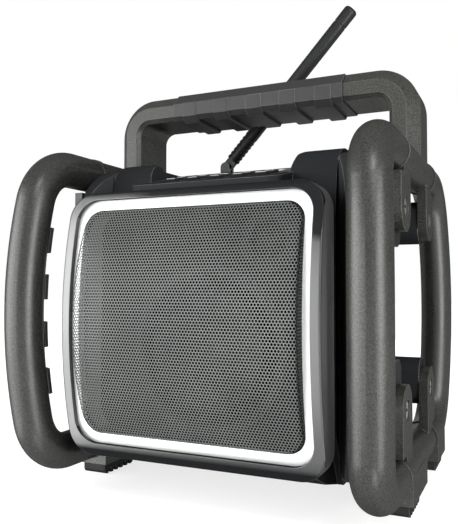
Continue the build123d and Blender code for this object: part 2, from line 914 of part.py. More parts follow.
for way_name, way in WAYS.items():
    for hand, side in SIDES.items():
        tube_path, bow = ring_path(side, way)
        start = Plane(origin=tube_path @ 0, z_dir=(0, way, 0))
        with BuildPart() as bumper:
            with BuildSketch(start):
                Circle(tube_r)
            sweep(path=tube_path)
            for z in (ring_low, ring_high):
                with BuildSketch(Plane(origin=(side * ring_x, way * joint_y, z), z_dir=(0, way, 0))):
                    Circle(collar_r)
                extrude(amount=collar_len)
            if way > 0:
                with BuildSketch(Plane.XY.offset(foot_top)):
                    with Locations((side * ring_x, (joint_y + collar_len + rear_foot[1]) / 2)):
                        Rectangle(2 * saddle_half, rear_foot[1] - joint_y - collar_len)
                extrude(amount=ring_low - foot_top)
            with BuildSketch(start):
                Circle(tube_r - tube_wall)
            sweep(path=tube_path, mode=Mode.SUBTRACT)
        bumper.part.label = f"{way_name}_bumper_{hand}"
        export_step(bumper.part, f"parts/{way_name}_bumper_{hand}.step")

# finger pads: rubber pieces let on to the rear of each front tube
pad_in_r = tube_r + seat
pad_out_r = tube_r + pad_proud
for hand, side in SIDES.items():
    tube_path, bow = ring_path(side, -1)
    with BuildPart() as pads:
        for step in range(pad_count):
            height = (step - (pad_count - 1) / 2) * pad_pitch
            share = pad_height / 2 / bow.length
            mid = 0.5 + height / bow.length
            stretch = bow.trim(mid - share, mid + share)
            with BuildSketch(Plane(origin=stretch @ 0, x_dir=(0, 1, 0), z_dir=stretch % 0)):
                Circle(pad_out_r)
                Circle(pad_in_r, mode=Mode.SUBTRACT)
                with Locations((tube_r, 0)):
                    Rectangle(2 * tube_r, pad_band, mode=Mode.INTERSECT)
            sweep(path=stretch)
    pads.part.label = f"finger_pads_{hand}"
    export_step(pads.part, f"parts/finger_pads_{hand}.step")

# ---- carrying handle: bow, upper bars of the rings and four lugs ----


def ring_bar(side, z):
    """Straight bar between the two tubes of a ring, with a spigot into each."""
    with BuildPart() as bar:
        with BuildSketch(Plane(origin=(side * ring_x, 0, z), z_dir=(0, 1, 0))):
            Circle(bar_r)
        extrude(amount=joint_y, both=True)
        with BuildSketch(Plane(origin=(side * ring_x, 0, z), z_dir=(0, 1, 0))):
            Circle(tube_r - tube_wall - fit)
        extrude(amount=joint_y + spigot_len, both=True)
    return bar.part


def lug(side, way, screw_z, ring_z):
    """Flat lug from a ring's bar to its screw, clear of the tube beside the bar."""
    towards = 1 if ring_z > screw_z else -1
    shoulder_z = ring_z - towards * (tube_r + lug_gap)
    neck_out = joint_y - lug_gap / 2
    neck_in = lug_y - lug_r
    with BuildPart() as plate:
        with BuildSketch(Plane.YZ.offset(side * lug_in)):
            with Locations((way * lug_y, screw_z)):
                Circle(lug_r)
            with Locations((way * lug_y, (screw_z + shoulder_z) / 2)):
                Rectangle(2 * lug_r, abs(shoulder_z - screw_z))
            with Locations((way * (neck_in + neck_out) / 2, (shoulder_z + ring_z) / 2)):
                Rectangle(neck_out - neck_in, abs(ring_z - shoulder_z))
        extrude(amount=side * (lug_out - lug_in))
        with BuildSketch(Plane.YZ.offset(side * lug_out)):
            with Locations((way * lug_y, screw_z)):
                Circle(screw_head_r + fit)
        extrude(amount=-side * screw_sink, mode=Mode.SUBTRACT)
        with BuildSketch(Plane.YZ.offset(side * lug_out)):
            with Locations((way * lug_y, screw_z)):
                Circle(screw_r + screw_hole_play)
        extrude(amount=-side * (lug_out - lug_in), mode=Mode.SUBTRACT)
    return plate.part


beam_half = ring_x + beam_thick / 2
inner_half = ring_x - beam_thick / 2

with BuildSketch(Plane.YZ) as beam_section:
    with Locations((post_mid_y, handle_top - beam_thick / 2)):
        Rectangle(post_depth, beam_thick)
    chamfer(beam_section.vertices().group_by(Axis.Y)[-1], length=handle_bevel)
    chamfer(beam_section.vertices().group_by(Axis.Y)[0], length=handle_inner_bevel)

with BuildSketch(Plane.YZ) as grip_bed:
    add(beam_section.sketch_local)
    offset(amount=-grip_sunk, kind=Kind.INTERSECTION, mode=Mode.REPLACE)

with BuildSketch(Plane.YZ) as grip_skin:
    add(beam_section.sketch_local)
    offset(amount=grip_rise, kind=Kind.INTERSECTION, mode=Mode.REPLACE)

with BuildPart() as grip_blank:
    extrude(grip_skin.sketch, amount=grip_half, both=True)
    extrude(grip_bed.sketch, amount=grip_half, both=True, mode=Mode.SUBTRACT)

with BuildPart() as handle:
    with BuildSketch(Plane.XZ.offset(-post_back)) as bow_face:
        with Locations((0, (handle_top + ring_high) / 2)):
            Rectangle(2 * beam_half, handle_top - ring_high)
        fillet(bow_face.vertices().group_by(Axis.Y)[-1], radius=handle_corner)
        with BuildSketch(mode=Mode.SUBTRACT) as bow_window:
            with Locations((0, (beam_top_inner + ring_high) / 2)):
                Rectangle(2 * inner_half, beam_top_inner - ring_high)
            fillet(bow_window.vertices().group_by(Axis.Y)[-1], radius=handle_inner_corner)
    extrude(amount=post_depth)
    outline_edges = handle.edges().filter_by(Axis.Y, reverse=True)
    outline_edges = outline_edges.filter_by(lambda edge: abs(edge.center().Z - ring_high) > wall)
    outer_edges = outline_edges.filter_by(
        lambda edge: edge.center().Z > beam_top_inner or abs(edge.center().X) > ring_x
    )
    inner_edges = outline_edges - outer_edges
    chamfer(outer_edges, length=handle_bevel)
    chamfer(inner_edges, length=handle_inner_bevel)
    add(grip_blank.part, mode=Mode.SUBTRACT)
    for side in SIDES.values():
        add(ring_bar(side, ring_high))
        for way in WAYS.values():
            add(lug(side, way, high_screw_z, ring_high))
        with BuildSketch(Plane(origin=(side * ring_x, 0, ring_high), z_dir=(0, 1, 0))):
            Circle(bar_bore)
        extrude(amount=joint_y + spigot_len, both=True, mode=Mode.SUBTRACT)
handle.part.label = "handle"
export_step(handle.part, "parts/handle.step")

rib_places = [(step - (rib_count - 1) / 2) * rib_pitch for step in range(rib_count)]
rib_front = 2.4
with BuildSketch(Plane.YZ) as rib_section:
    rib_top = handle_top - handle_bevel
    rib_bottom = beam_top_inner - rib_proud
    with Locations((post_mid_y, (rib_top + rib_bottom) / 2)):
        Rectangle(post_depth + 2 * rib_front, rib_top - rib_bottom)
    chamfer(rib_section.vertices().group_by(Axis.Y)[0], length=handle_inner_bevel + rib_round)

with BuildPart() as rib:
    extrude(rib_section.sketch, amount=rib_width / 2, both=True)
    fillet(rib.edges().filter_by(Axis.X, reverse=True).group_by(Axis.Z)[:-1], radius=rib_round / 2)

with BuildPart() as handle_grip:
    add(grip_blank.part)
    with Locations(*[(x, 0, 0) for x in rib_places]):
        add(rib.part)
    extrude(grip_bed.sketch, amount=grip_half, both=True, mode=Mode.SUBTRACT)
handle_grip.part.label = "handle_grip"
export_step(handle_grip.part, "parts/handle_grip.step")

# ---- lower bars with their saddles and lugs ----
for hand, side in SIDES.items():
    with BuildPart() as bridge:
        with BuildSketch(Plane.XY.offset(foot_top)):
            with Locations((side * ring_x, (front_saddle_back - joint_y) / 2)):
                Rectangle(2 * saddle_half, joint_y + front_saddle_back)
        extrude(amount=ring_low - foot_top)
        add(ring_bar(side, ring_low))
        for way in WAYS.values():
            add(lug(side, way, low_screw_z, ring_low))
        with BuildSketch(Plane(origin=(side * ring_x, 0, ring_low), z_dir=(0, 1, 0))):
            Circle(bar_bore)
        extrude(amount=joint_y + spigot_len, both=True, mode=Mode.SUBTRACT)
    bridge.part.label = f"lower_bridge_{hand}"
    export_step(bridge.part, f"parts/lower_bridge_{hand}.step")

# ---- screws through the lugs ----
cross_wide = 2.2
cross_long = 8.0
cross_deep = 2.0
with BuildPart() as lug_screws:
    for side in SIDES.values():
        head_face = lug_out - screw_sink + screw_head_thick
        spots = [(way * lug_y, z) for way in WAYS.values() for z in (low_screw_z, high_screw_z)]
        with BuildSketch(Plane.YZ.offset(side * head_face)):
            with Locations(*spots):
                Circle(screw_head_r)
        extrude(amount=-side * screw_head_thick)
        with BuildSketch(Plane.YZ.offset(side * (lug_out - screw_sink))):
            with Locations(*spots):
                Circle(screw_r)
        extrude(amount=-side * screw_len)
        with BuildSketch(Plane.YZ.offset(side * head_face)):
            with Locations(*spots):
                Rectangle(cross_wide, cross_long)
                Rectangle(cross_long, cross_wide)
        extrude(amount=-side * cross_deep, mode=Mode.SUBTRACT)
lug_screws.part.label = "lug_screws"
export_step(lug_screws.part, "parts/lug_screws.step")

# ---- feet: rubber blocks with grooves across the sole ----
foot_spans = {"front": front_foot, "rear": rear_foot}
for way_name, (near, far) in foot_spans.items():
    for hand, side in SIDES.items():
        with BuildPart() as foot:
            with BuildSketch(Plane.YZ.offset(side * ring_x)) as foot_side:
                with Locations(((near + far) / 2, foot_top / 2)):
                    Rectangle(far - near, foot_top)
                fillet(foot_side.vertices().group_by(Axis.Y)[0], radius=foot_corner)
                groove_count = int((far - near - 2 * foot_corner) / foot_groove_pitch) + 1
                with Locations(((near + far) / 2, 0)):
                    with GridLocations(foot_groove_pitch, 1, groove_count, 1):
                        Rectangle(foot_groove, 2 * foot_groove_deep, mode=Mode.SUBTRACT)
            extrude(amount=foot_half, both=True)
        foot.part.label = f"{way_name}_foot_{hand}"
        export_step(foot.part, f"parts/{way_name}_foot_{hand}.step")

# ---- control panel, display window and keys ----
key_places = [
    ((step - (key_count - 1) / 2) * key_pitch, panel_mid_s - row)
    for row in key_rows
    for step in range(key_count)
]
window_place = (0, panel_mid_s - window_mid)

with BuildPart() as control_panel:
    with BuildSketch(panel_mid.offset(-panel_thick)):
        RectangleRounded(2 * panel_half, panel_deep, panel_corner - fit)
        with Locations(*key_places):
            RectangleRounded(
                key_wide + 2 * key_gap,
                key_deep + 2 * key_gap,
                key_round + key_gap,
                mode=Mode.SUBTRACT,
            )
        with Locations(window_place):
            Rectangle(window_wide - 2 * window_lip, window_deep - 2 * window_lip, mode=Mode.SUBTRACT)
    extrude(amount=panel_thick)
    with BuildSketch(panel_mid.offset(-window_thick)):
        with Locations(window_place):
            RectangleRounded(window_wide + 2 * fit, window_deep + 2 * fit, key_round + fit)
    extrude(amount=window_thick, mode=Mode.SUBTRACT)
control_panel.part.label = "control_panel"
export_step(control_panel.part, "parts/control_panel.step")

with BuildPart() as display_window:
    with BuildSketch(panel_mid.offset(-window_thick)):
        with Locations(window_place):
            RectangleRounded(window_wide, window_deep, key_round)
    extrude(amount=window_thick)
display_window.part.label = "display_window"
export_step(display_window.part, "parts/display_window.step")

flange_top = panel_thick + key_gap
flange_bottom = flange_top + key_flange
stem_bottom = flange_bottom + key_stem_len
board_top = stem_bottom + key_travel + fit + switch_high
for number, place in enumerate(key_places, start=1):
    with BuildPart() as key:
        with BuildSketch(panel_mid.offset(-flange_top)):
            with Locations(place):
                RectangleRounded(key_wide, key_deep, key_round)
        extrude(amount=flange_top + key_proud)
        fillet(key.faces().sort_by(panel_up)[-1].edges(), radius=key_gap * 2)
        with BuildSketch(panel_mid.offset(-flange_bottom)):
            with Locations(place):
                RectangleRounded(key_wide + 2 * key_lip, key_deep + 2 * key_lip, key_round)
        extrude(amount=key_flange)
        with BuildSketch(panel_mid.offset(-stem_bottom)):
            with Locations(place):
                Circle(key_stem_r)
        extrude(amount=key_stem_len)
    key.part.label = f"key_{number:02d}"
    export_step(key.part, f"parts/key_{number:02d}.step")

board_half = panel_half - panel_ledge - fit
board_far = panel_deep / 2 - panel_ledge - fit
with BuildPart() as control_board:
    with BuildSketch(panel_mid.offset(-board_top - board_thick)):
        RectangleRounded(2 * board_half, 2 * board_far, panel_corner)
    extrude(amount=board_thick)
    with BuildSketch(panel_mid.offset(-board_top)):
        with Locations(*key_places):
            Rectangle(switch_size, switch_size)
    extrude(amount=switch_high)
control_board.part.label = "control_board"
export_step(control_board.part, "parts/control_board.step")

with BuildPart() as display_module:
    with BuildSketch(panel_mid.offset(-board_top)):
        with Locations(window_place):
            Rectangle(window_wide - 2 * window_lip - 2 * fit, window_deep - 2 * window_lip - 2 * fit)
    extrude(amount=board_top - window_thick - fit)
display_module.part.label = "display_module"
export_step(display_module.part, "parts/display_module.step")

# ---- antenna: fixed base, swivelling fork and tilting whip ----
whip_dir = (sin(radians(mast_lean)), 0, cos(radians(mast_lean)))
whip_side = (cos(radians(mast_lean)), 0, -sin(radians(mast_lean)))
whip_plane = Plane(origin=(mast_x, mast_y, pivot_z), x_dir=whip_side, z_dir=whip_dir)
mast_plane = Plane(origin=(mast_x, mast_y, 0))
base_top = case_top + base_high
turret_low = base_top + pin_play
stub_r = 4.0
stub_len = 4.0
arm_gap = 0.15

with BuildPart() as antenna_base:
    with BuildSketch(mast_plane.offset(case_top)):
        Circle(base_r)
        Circle(stub_r + pin_play, mode=Mode.SUBTRACT)
    extrude(amount=base_high)
    chamfer(antenna_base.faces().sort_by(Axis.Z)[-1].outer_wire().edges(), length=base_edge)
antenna_base.part.label = "antenna_base"
export_step(antenna_base.part, "parts/antenna_base.step")

with BuildPart() as antenna_fork:
    with BuildSketch(mast_plane.offset(turret_low - stub_len)):
        Circle(stub_r)
    extrude(amount=stub_len)
    with BuildSketch(mast_plane.offset(turret_low)):
        Circle(turret_r)
    extrude(amount=pivot_z - fork_r - turret_low)
    with BuildSketch(Plane.XZ.offset(-mast_y)) as arm_side:
        with Locations((mast_x, pivot_z)):
            Circle(fork_r)
        with Locations((mast_x, (turret_low + pivot_z) / 2)):
            Rectangle(2 * fork_r, pivot_z - turret_low)
    extrude(amount=fork_half, both=True)
    with BuildSketch(Plane.XZ.offset(-mast_y)):
        with Locations((mast_x, pivot_z)):
            Rectangle(2 * turret_r, 2 * fork_r + arm_gap)
    extrude(amount=tongue_half + arm_gap, both=True, mode=Mode.SUBTRACT)
    with BuildSketch(Plane.XZ.offset(-mast_y)):
        with Locations((mast_x, pivot_z)):
            Circle(pin_r)
    extrude(amount=fork_half, both=True)
antenna_fork.part.label = "antenna_fork"
export_step(antenna_fork.part, "parts/antenna_fork.step")

groove_start = whip_len - tip_cap
ring_pitch = 5.6
ring_wide = 2.6
ring_count = int((sleeve_end - sleeve_start) / ring_pitch)
with BuildPart() as antenna_whip:
    with BuildSketch(whip_plane):
        Circle(sleeve_r)
    extrude(amount=whip_len - sleeve_ring)
    with BuildSketch(whip_plane.offset(sleeve_end)):
        Circle(whip_r)
    extrude(amount=groove_start - sleeve_end)
    for step in range(ring_count):
        with BuildSketch(whip_plane.offset(sleeve_start + step * ring_pitch)):
            Circle(sleeve_r + sleeve_ring)
        extrude(amount=ring_wide)
    with BuildSketch(whip_plane.offset(groove_start + 2 * sleeve_ring)):
        Circle(whip_r)
    extrude(amount=tip_cap - 2 * sleeve_ring)
    fillet(antenna_whip.edges().sort_by(Axis((mast_x, mast_y, pivot_z), whip_dir))[-1], radius=whip_r / 2)
    with BuildSketch(whip_plane):
        Circle(whip_r + sleeve_ring)
    extrude(amount=sleeve_start, mode=Mode.SUBTRACT)
    with BuildSketch(Plane(origin=whip_plane.origin, x_dir=whip_side, z_dir=(0, -1, 0))):
        Circle(fork_r - pin_play)
        with Locations((0, 0)):
            Rectangle(2 * (fork_r - pin_play), sleeve_start + stub_len, align=(Align.CENTER, Align.MIN))
        Circle(pin_r + pin_play, mode=Mode.SUBTRACT)
    extrude(amount=tongue_half, both=True)
antenna_whip.part.label = "antenna_whip"
export_step(antenna_whip.part, "parts/antenna_whip.step")

# ---- battery bay: tray, cells, contacts and the hinged door ----
tray_mid_z = (tray_low + tray_high) / 2
with BuildPart() as battery_tray:
    with BuildSketch(Plane.XZ.offset(-inner_back)):
        with Locations((0, tray_mid_z)):
            Rectangle(2 * tray_half, tray_high - tray_low)
    extrude(amount=inner_back - tray_front)
    with BuildSketch(Plane.XZ.offset(-inner_back)):
        with Locations((0, tray_mid_z)):
            Rectangle(2 * (tray_half - tray_wall), tray_high - tray_low - 2 * tray_wall)
    extrude(amount=inner_back - tray_front - tray_wall, mode=Mode.SUBTRACT)
battery_tray.part.label = "battery_tray"
export_step(battery_tray.part, "parts/battery_tray.step")

cell_rows = 4
cell_pitch = (tray_high - tray_low - 2 * tray_wall) / cell_rows
cell_y = tray_front + tray_wall + cell_r
cell_heights = [tray_mid_z + (row - (cell_rows - 1) / 2) * cell_pitch for row in range(cell_rows)]
cell_nub_r = 4.5
cell_nub = 1.2
with BuildPart() as battery_cells:
    for z in cell_heights:
        for side in SIDES.values():
            with BuildSketch(Plane.YZ.offset(side * fit)):
                with Locations((cell_y, z)):
                    Circle(cell_r)
            extrude(amount=side * (cell_len - cell_nub))
            with BuildSketch(Plane.YZ.offset(side * (fit + cell_len - cell_nub))):
                with Locations((cell_y, z)):
                    Circle(cell_nub_r)
            extrude(amount=side * cell_nub)
battery_cells.part.label = "battery_cells"
export_step(battery_cells.part, "parts/battery_cells.step")

contact_size = 14.0
with BuildPart() as battery_contacts:
    for z in cell_heights:
        for side in SIDES.values():
            with BuildSketch(Plane.YZ.offset(side * (tray_half - tray_wall))):
                with Locations((cell_y, z)):
                    Rectangle(contact_size, contact_size)
            extrude(amount=-side * contact_thick)
battery_contacts.part.label = "battery_contacts"
export_step(battery_contacts.part, "parts/battery_contacts.step")

door_in = case_back + door_gap
door_out = door_in + door_thick
with BuildPart() as battery_door:
    with BuildSketch(Plane.XZ.offset(-door_out)):
        with Locations((0, (door_low + door_high) / 2)):
            RectangleRounded(2 * door_half, door_high - door_low, socket_round)
    extrude(amount=door_thick)
    with BuildSketch(Plane.XZ.offset(-door_out)):
        with Locations((0, door_high - 2 * socket_round)):
            SlotOverall(6 * socket_round, socket_round)
    extrude(amount=door_thick / 2, mode=Mode.SUBTRACT)
    for side in SIDES.values():
        with BuildSketch(Plane.YZ.offset(side * hinge_x)):
            with Locations((hinge_y, hinge_z)):
                Circle(hinge_r)
            with Locations(((door_in + hinge_y) / 2, (hinge_z + door_low + door_thick) / 2)):
                Rectangle(hinge_y - door_in, door_low + door_thick - hinge_z)
            with Locations((hinge_y, hinge_z)):
                Circle(hinge_pin_r + hinge_play, mode=Mode.SUBTRACT)
        extrude(amount=hinge_len / 2, both=True)
battery_door.part.label = "battery_door"
export_step(battery_door.part, "parts/battery_door.step")

with BuildPart() as door_pins:
    for side in SIDES.values():
        with BuildSketch(Plane.YZ.offset(side * hinge_x)):
            with Locations((hinge_y, hinge_z)):
                Circle(hinge_pin_r)
        extrude(amount=hinge_len / 2 + ear_gap + ear_thick, both=True)
door_pins.part.label = "door_pins"
export_step(door_pins.part, "parts/door_pins.step")

# ---- socket panel with its rubber cover ----
socket_out = case_back + socket_thick
jack_spots = [(socket_x, socket_z + rise) for rise in jack_rises]
inlet_spot = (socket_x, socket_z - inlet_drop)
cover_top = socket_z + socket_tall / 2 - socket_round - cover_thick
cover_low = socket_z - cover_drop
pivot_r = cover_thick / 2
cover_pivot_y = socket_out + seat + pivot_r
cover_pivot_z = cover_top + pivot_r
with BuildPart() as socket_panel:
    with BuildSketch(Plane.XZ.offset(-socket_out)):
        with Locations((socket_x, socket_z)):
            RectangleRounded(socket_wide, socket_tall, socket_round)
    extrude(amount=socket_thick)
    with BuildSketch(Plane.XZ.offset(-case_back)):
        with Locations((socket_x, socket_z)):
            RectangleRounded(
                socket_wide - 2 * wall - 2 * fit,
                socket_tall - 2 * wall - 2 * fit,
                socket_round - wall / 2,
            )
    extrude(amount=jack_back)
    with BuildSketch(Plane.XZ.offset(-socket_out)):
        with Locations(*jack_spots):
            Circle(jack_r)
        with Locations(inlet_spot):
            SlotOverall(inlet_long, inlet_wide)
    extrude(amount=jack_back, mode=Mode.SUBTRACT)
    for end in (-1, 1):
        with BuildSketch(Plane.YZ.offset(socket_x + end * (cover_half + seat))):
            with Locations((cover_pivot_y, cover_pivot_z)):
                Circle(pivot_r)
            with Locations(((socket_out + cover_pivot_y) / 2, cover_pivot_z)):
                Rectangle(cover_pivot_y - socket_out, 2 * pivot_r)
        extrude(amount=end * cover_ear)
socket_panel.part.label = "socket_panel"
export_step(socket_panel.part, "parts/socket_panel.step")

with BuildPart() as socket_cover:
    with BuildSketch(Plane.XZ.offset(-socket_out - seat - cover_thick)):
        with Locations((socket_x, (cover_low + cover_pivot_z) / 2)):
            Rectangle(2 * cover_half, cover_pivot_z - cover_low)
    extrude(amount=cover_thick)
    with BuildSketch(Plane.YZ.offset(socket_x)):
        with Locations((cover_pivot_y, cover_pivot_z)):
            Circle(pivot_r)
    extrude(amount=cover_half, both=True)
socket_cover.part.label = "socket_cover"
export_step(socket_cover.part, "parts/socket_cover.step")

# ---- boards, power supply and case screws ----
with BuildPart() as main_board:
    with BuildSketch(Plane.XY.offset(board_z)):
        with Locations((0, board_mid_y)):
            Rectangle(2 * main_board_half[0], 2 * main_board_half[1])
    extrude(amount=board_thick)
    with BuildSketch(Plane.XY.offset(board_z + board_thick)):
        for x, y, wide, deep in blocks:
            with Locations((x, y)):
                Rectangle(wide, deep)
    extrude(amount=block_high)
main_board.part.label = "main_board"
export_step(main_board.part, "parts/main_board.step")

with BuildPart() as power_supply:
    with BuildSketch(Plane.XY.offset(case_bottom + wall)):
        with Locations(supply_place):
            Rectangle(supply_size[0], supply_size[1])
    extrude(amount=supply_size[2])
    chamfer(power_supply.edges().filter_by(Axis.Z), length=wall)
power_supply.part.label = "power_supply"
export_step(power_supply.part, "parts/power_supply.step")

with BuildPart() as case_screws:
    with BuildSketch(Plane.XZ.offset(-case_back)):
        with Locations(*post_places):
            Circle(case_screw_head)
    extrude(amount=wall)
    with BuildSketch(Plane.XZ.offset(-inner_back)):
        with Locations(*post_places):
            Circle(case_screw_r)
    extrude(amount=case_screw_len)
    with BuildSketch(Plane.XZ.offset(-case_back)):
        with Locations(*post_places):
            Rectangle(cross_wide / 2, cross_long / 2)
            Rectangle(cross_long / 2, cross_wide / 2)
    extrude(amount=cross_deep / 2, mode=Mode.SUBTRACT)
case_screws.part.label = "case_screws"
export_step(case_screws.part, "parts/case_screws.step")
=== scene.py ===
"""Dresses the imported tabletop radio: a rugged case with tube guards, a gripped handle and a grille."""

from math import asin, atan, cos, pi, radians, sin, sqrt

import bpy
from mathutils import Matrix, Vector


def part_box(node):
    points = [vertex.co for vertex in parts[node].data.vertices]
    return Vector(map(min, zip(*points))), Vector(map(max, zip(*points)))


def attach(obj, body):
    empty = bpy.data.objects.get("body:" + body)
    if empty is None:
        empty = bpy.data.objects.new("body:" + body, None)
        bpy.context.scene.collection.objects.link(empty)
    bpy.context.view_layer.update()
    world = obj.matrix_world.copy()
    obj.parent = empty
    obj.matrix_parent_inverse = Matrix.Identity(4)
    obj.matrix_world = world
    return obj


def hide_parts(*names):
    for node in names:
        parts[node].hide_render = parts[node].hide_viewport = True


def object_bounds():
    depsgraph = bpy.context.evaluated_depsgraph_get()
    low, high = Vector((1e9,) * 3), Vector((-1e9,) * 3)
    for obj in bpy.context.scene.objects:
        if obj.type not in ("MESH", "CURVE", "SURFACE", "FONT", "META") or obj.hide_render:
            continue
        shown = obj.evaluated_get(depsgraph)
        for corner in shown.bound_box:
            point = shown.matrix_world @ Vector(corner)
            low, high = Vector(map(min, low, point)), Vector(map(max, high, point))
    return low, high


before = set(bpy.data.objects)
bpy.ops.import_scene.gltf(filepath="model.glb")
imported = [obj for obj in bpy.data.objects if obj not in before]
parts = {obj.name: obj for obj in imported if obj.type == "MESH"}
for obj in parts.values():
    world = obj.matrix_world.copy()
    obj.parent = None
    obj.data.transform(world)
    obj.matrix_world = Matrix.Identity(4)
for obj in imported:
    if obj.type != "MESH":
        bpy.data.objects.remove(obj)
cad_low, cad_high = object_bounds()


# ---- The table, the studio light and the view ----------------------------------------------
# A white laminate table among six soft boxes, in a pale room. The laminate carries the radio's soft
# shadow, its polish shows only in what the radio mirrors, and the room stays white behind it.

def linear(code):
    """Turns an sRGB hex colour into the linear colour that a shader takes."""
    levels = [int(code[i:i + 2], 16) / 255 for i in (1, 3, 5)]
    return [v / 12.92 if v <= 0.04045 else ((v + 0.055) / 1.055) ** 2.4 for v in levels] + [1.0]


def put(tree, kind, inputs=None, **settings):
    """Adds a node, sets its properties, and fills its inputs with values or links them to nodes."""
    node = tree.nodes.new(kind)
    for name, value in settings.items():
        setattr(node, name, value)
    for key, value in (inputs or {}).items():
        if isinstance(value, bpy.types.Node):
            value = next(out for out in value.outputs if out.enabled)
        if isinstance(value, bpy.types.NodeSocket):
            tree.links.new(value, node.inputs[key])
        else:
            node.inputs[key].default_value = value
    return node


def new_tree(name):
    """Starts a named material and returns it with its empty node tree."""
    material = bpy.data.materials.new(name)
    material.use_nodes = True
    material.node_tree.nodes.clear()
    return material, material.node_tree


def new_piece(name, points, faces, material, smooth=False):
    """Makes a mesh object at the origin from points in metres, in the row frame."""
    mesh = bpy.data.meshes.new(name)
    mesh.from_pydata([tuple(p) for p in points], [], faces)
    mesh.materials.append(material)
    mesh.polygons.foreach_set("use_smooth", [smooth] * len(faces))
    mesh.update()
    piece = bpy.data.objects.new(name, mesh)
    bpy.context.scene.collection.objects.link(piece)
    return piece


def met_directly(tree, seen):
    """Picks the rays that find the background white: straight, mirrored or through the window."""
    mirrored = put(tree, "ShaderNodeMath", {0: seen.outputs["Is Camera Ray"],
                                            1: seen.outputs["Is Glossy Ray"]}, operation="MAXIMUM")
    return put(tree, "ShaderNodeMath", {0: mirrored, 1: seen.outputs["Is Transmission Ray"]},
               operation="MAXIMUM")


# the laminate carries a painted glow, dimmer near the radio and as bright as the room on the far table, so
# that only the shadow shows
near_table = 0.35
far_table = 1.3
near_glow = 0.76
polish_share = 0.6
polish_rough = 0.12
table_laminate, tree = new_tree("white table laminate")
seen = put(tree, "ShaderNodeLightPath")
plain = put(tree, "ShaderNodeBsdfDiffuse", {"Color": linear("#e6e6e4")})
faint = put(tree, "ShaderNodeBsdfDiffuse", {"Color": linear("#a8a8a6")})
place = put(tree, "ShaderNodeTexCoord").outputs["Object"]
away = put(tree, "ShaderNodeVectorMath", {0: place}, operation="LENGTH")
pale = put(tree, "ShaderNodeMapRange", {"Value": away.outputs["Value"], "From Min": near_table,
                                        "From Max": far_table, "To Min": near_glow, "To Max": 1.0})
glow = put(tree, "ShaderNodeEmission", {"Color": linear("#ffffff"), "Strength": pale})
lifted = put(tree, "ShaderNodeAddShader", {0: faint, 1: glow})
sheen = put(tree, "ShaderNodeMath", {0: seen.outputs["Is Glossy Ray"], 1: polish_share},
            operation="MULTIPLY")
polish = put(tree, "ShaderNodeBsdfAnisotropic", {"Color": sheen, "Roughness": polish_rough})
lifted = put(tree, "ShaderNodeAddShader", {0: lifted, 1: polish})
laid = put(tree, "ShaderNodeMixShader", {0: met_directly(tree, seen), 1: plain, 2: lifted})
put(tree, "ShaderNodeOutputMaterial", {"Surface": laid})

table_reach = 6.0
table = new_piece("table", [(x, y, cad_low.z) for x, y in
                            ((-table_reach, -table_reach), (table_reach, -table_reach),
                             (table_reach, table_reach), (-table_reach, table_reach))],
                  [(0, 1, 2, 3)], table_laminate)

room = bpy.data.worlds.new("pale room")
room.use_nodes = True
tree = room.node_tree
tree.nodes.clear()
seen = put(tree, "ShaderNodeLightPath")
fill = put(tree, "ShaderNodeBackground", {"Color": linear("#ffffff"), "Strength": 0.3})
wall = put(tree, "ShaderNodeBackground", {"Color": linear("#ffffff"), "Strength": 1.0})
both = put(tree, "ShaderNodeMixShader", {0: met_directly(tree, seen), 1: fill, 2: wall})
put(tree, "ShaderNodeOutputWorld", {"Surface": both})
bpy.context.scene.world = room

# each soft box faces the radio's middle: its place, width and height in metres, its power in watts
middle = (cad_low + cad_high) / 2
for name, place, width, height, power in (
    ("soft box left", (-1.15, -0.85, 0.3), 1.2, 1.1, 42),
    ("soft box front", (-0.5, -1.5, 0.25), 0.3, 0.9, 8),
    ("soft box right", (1.2, -0.7, 0.28), 0.6, 1.1, 24),
    ("soft box high", (0.75, -1.0, 1.25), 0.4, 0.4, 10),
    ("soft box above", (0.1, -0.1, 1.9), 1.2, 0.9, 1),
    ("soft box behind", (-0.2, 1.6, 0.4), 1.0, 0.9, 9),
):
    lamp = bpy.data.lights.new(name, "AREA")
    lamp.shape = "RECTANGLE"
    lamp.size, lamp.size_y = width, height
    lamp.energy = power
    holder = bpy.data.objects.new(name, lamp)
    holder.location = place
    holder.rotation_euler = (middle - Vector(place)).to_track_quat("-Z", "Y").to_euler()
    bpy.context.scene.collection.objects.link(holder)

# the eye stands low before the radio, to its right, and looks slightly up
eye = bpy.data.cameras.new("eye")
eye.lens = 43.86
eye.sensor_width = 36
eye.shift_x = -0.0393
eye.shift_y = 0.0037
viewer = bpy.data.objects.new("eye", eye)
viewer.location = (0.26379, -0.61187, 0.19484)
viewer.rotation_euler = (radians(90 + 1.85), 0, radians(24))
bpy.context.scene.collection.objects.link(viewer)
bpy.context.scene.camera = viewer
bpy.context.scene.view_settings.view_transform = "Standard"


# ---- Case mouldings -------------------------------------------------------------------------
# Front and rear housings and the two side cheeks: black PC/ABS, injection moulded in spark-eroded
# tools and screwed together. That gives a satin skin with an even grain and a trace of mould wax.
# Their edges are painted paler: partly wear from handling, partly a painted highlight where light catches
# them.

# gloss and the paler edges (wear with a painted highlight) drift over patches of this size
patch_mm = 45.5
worn_and_highlit_edge_grey = "#8a8c8d"


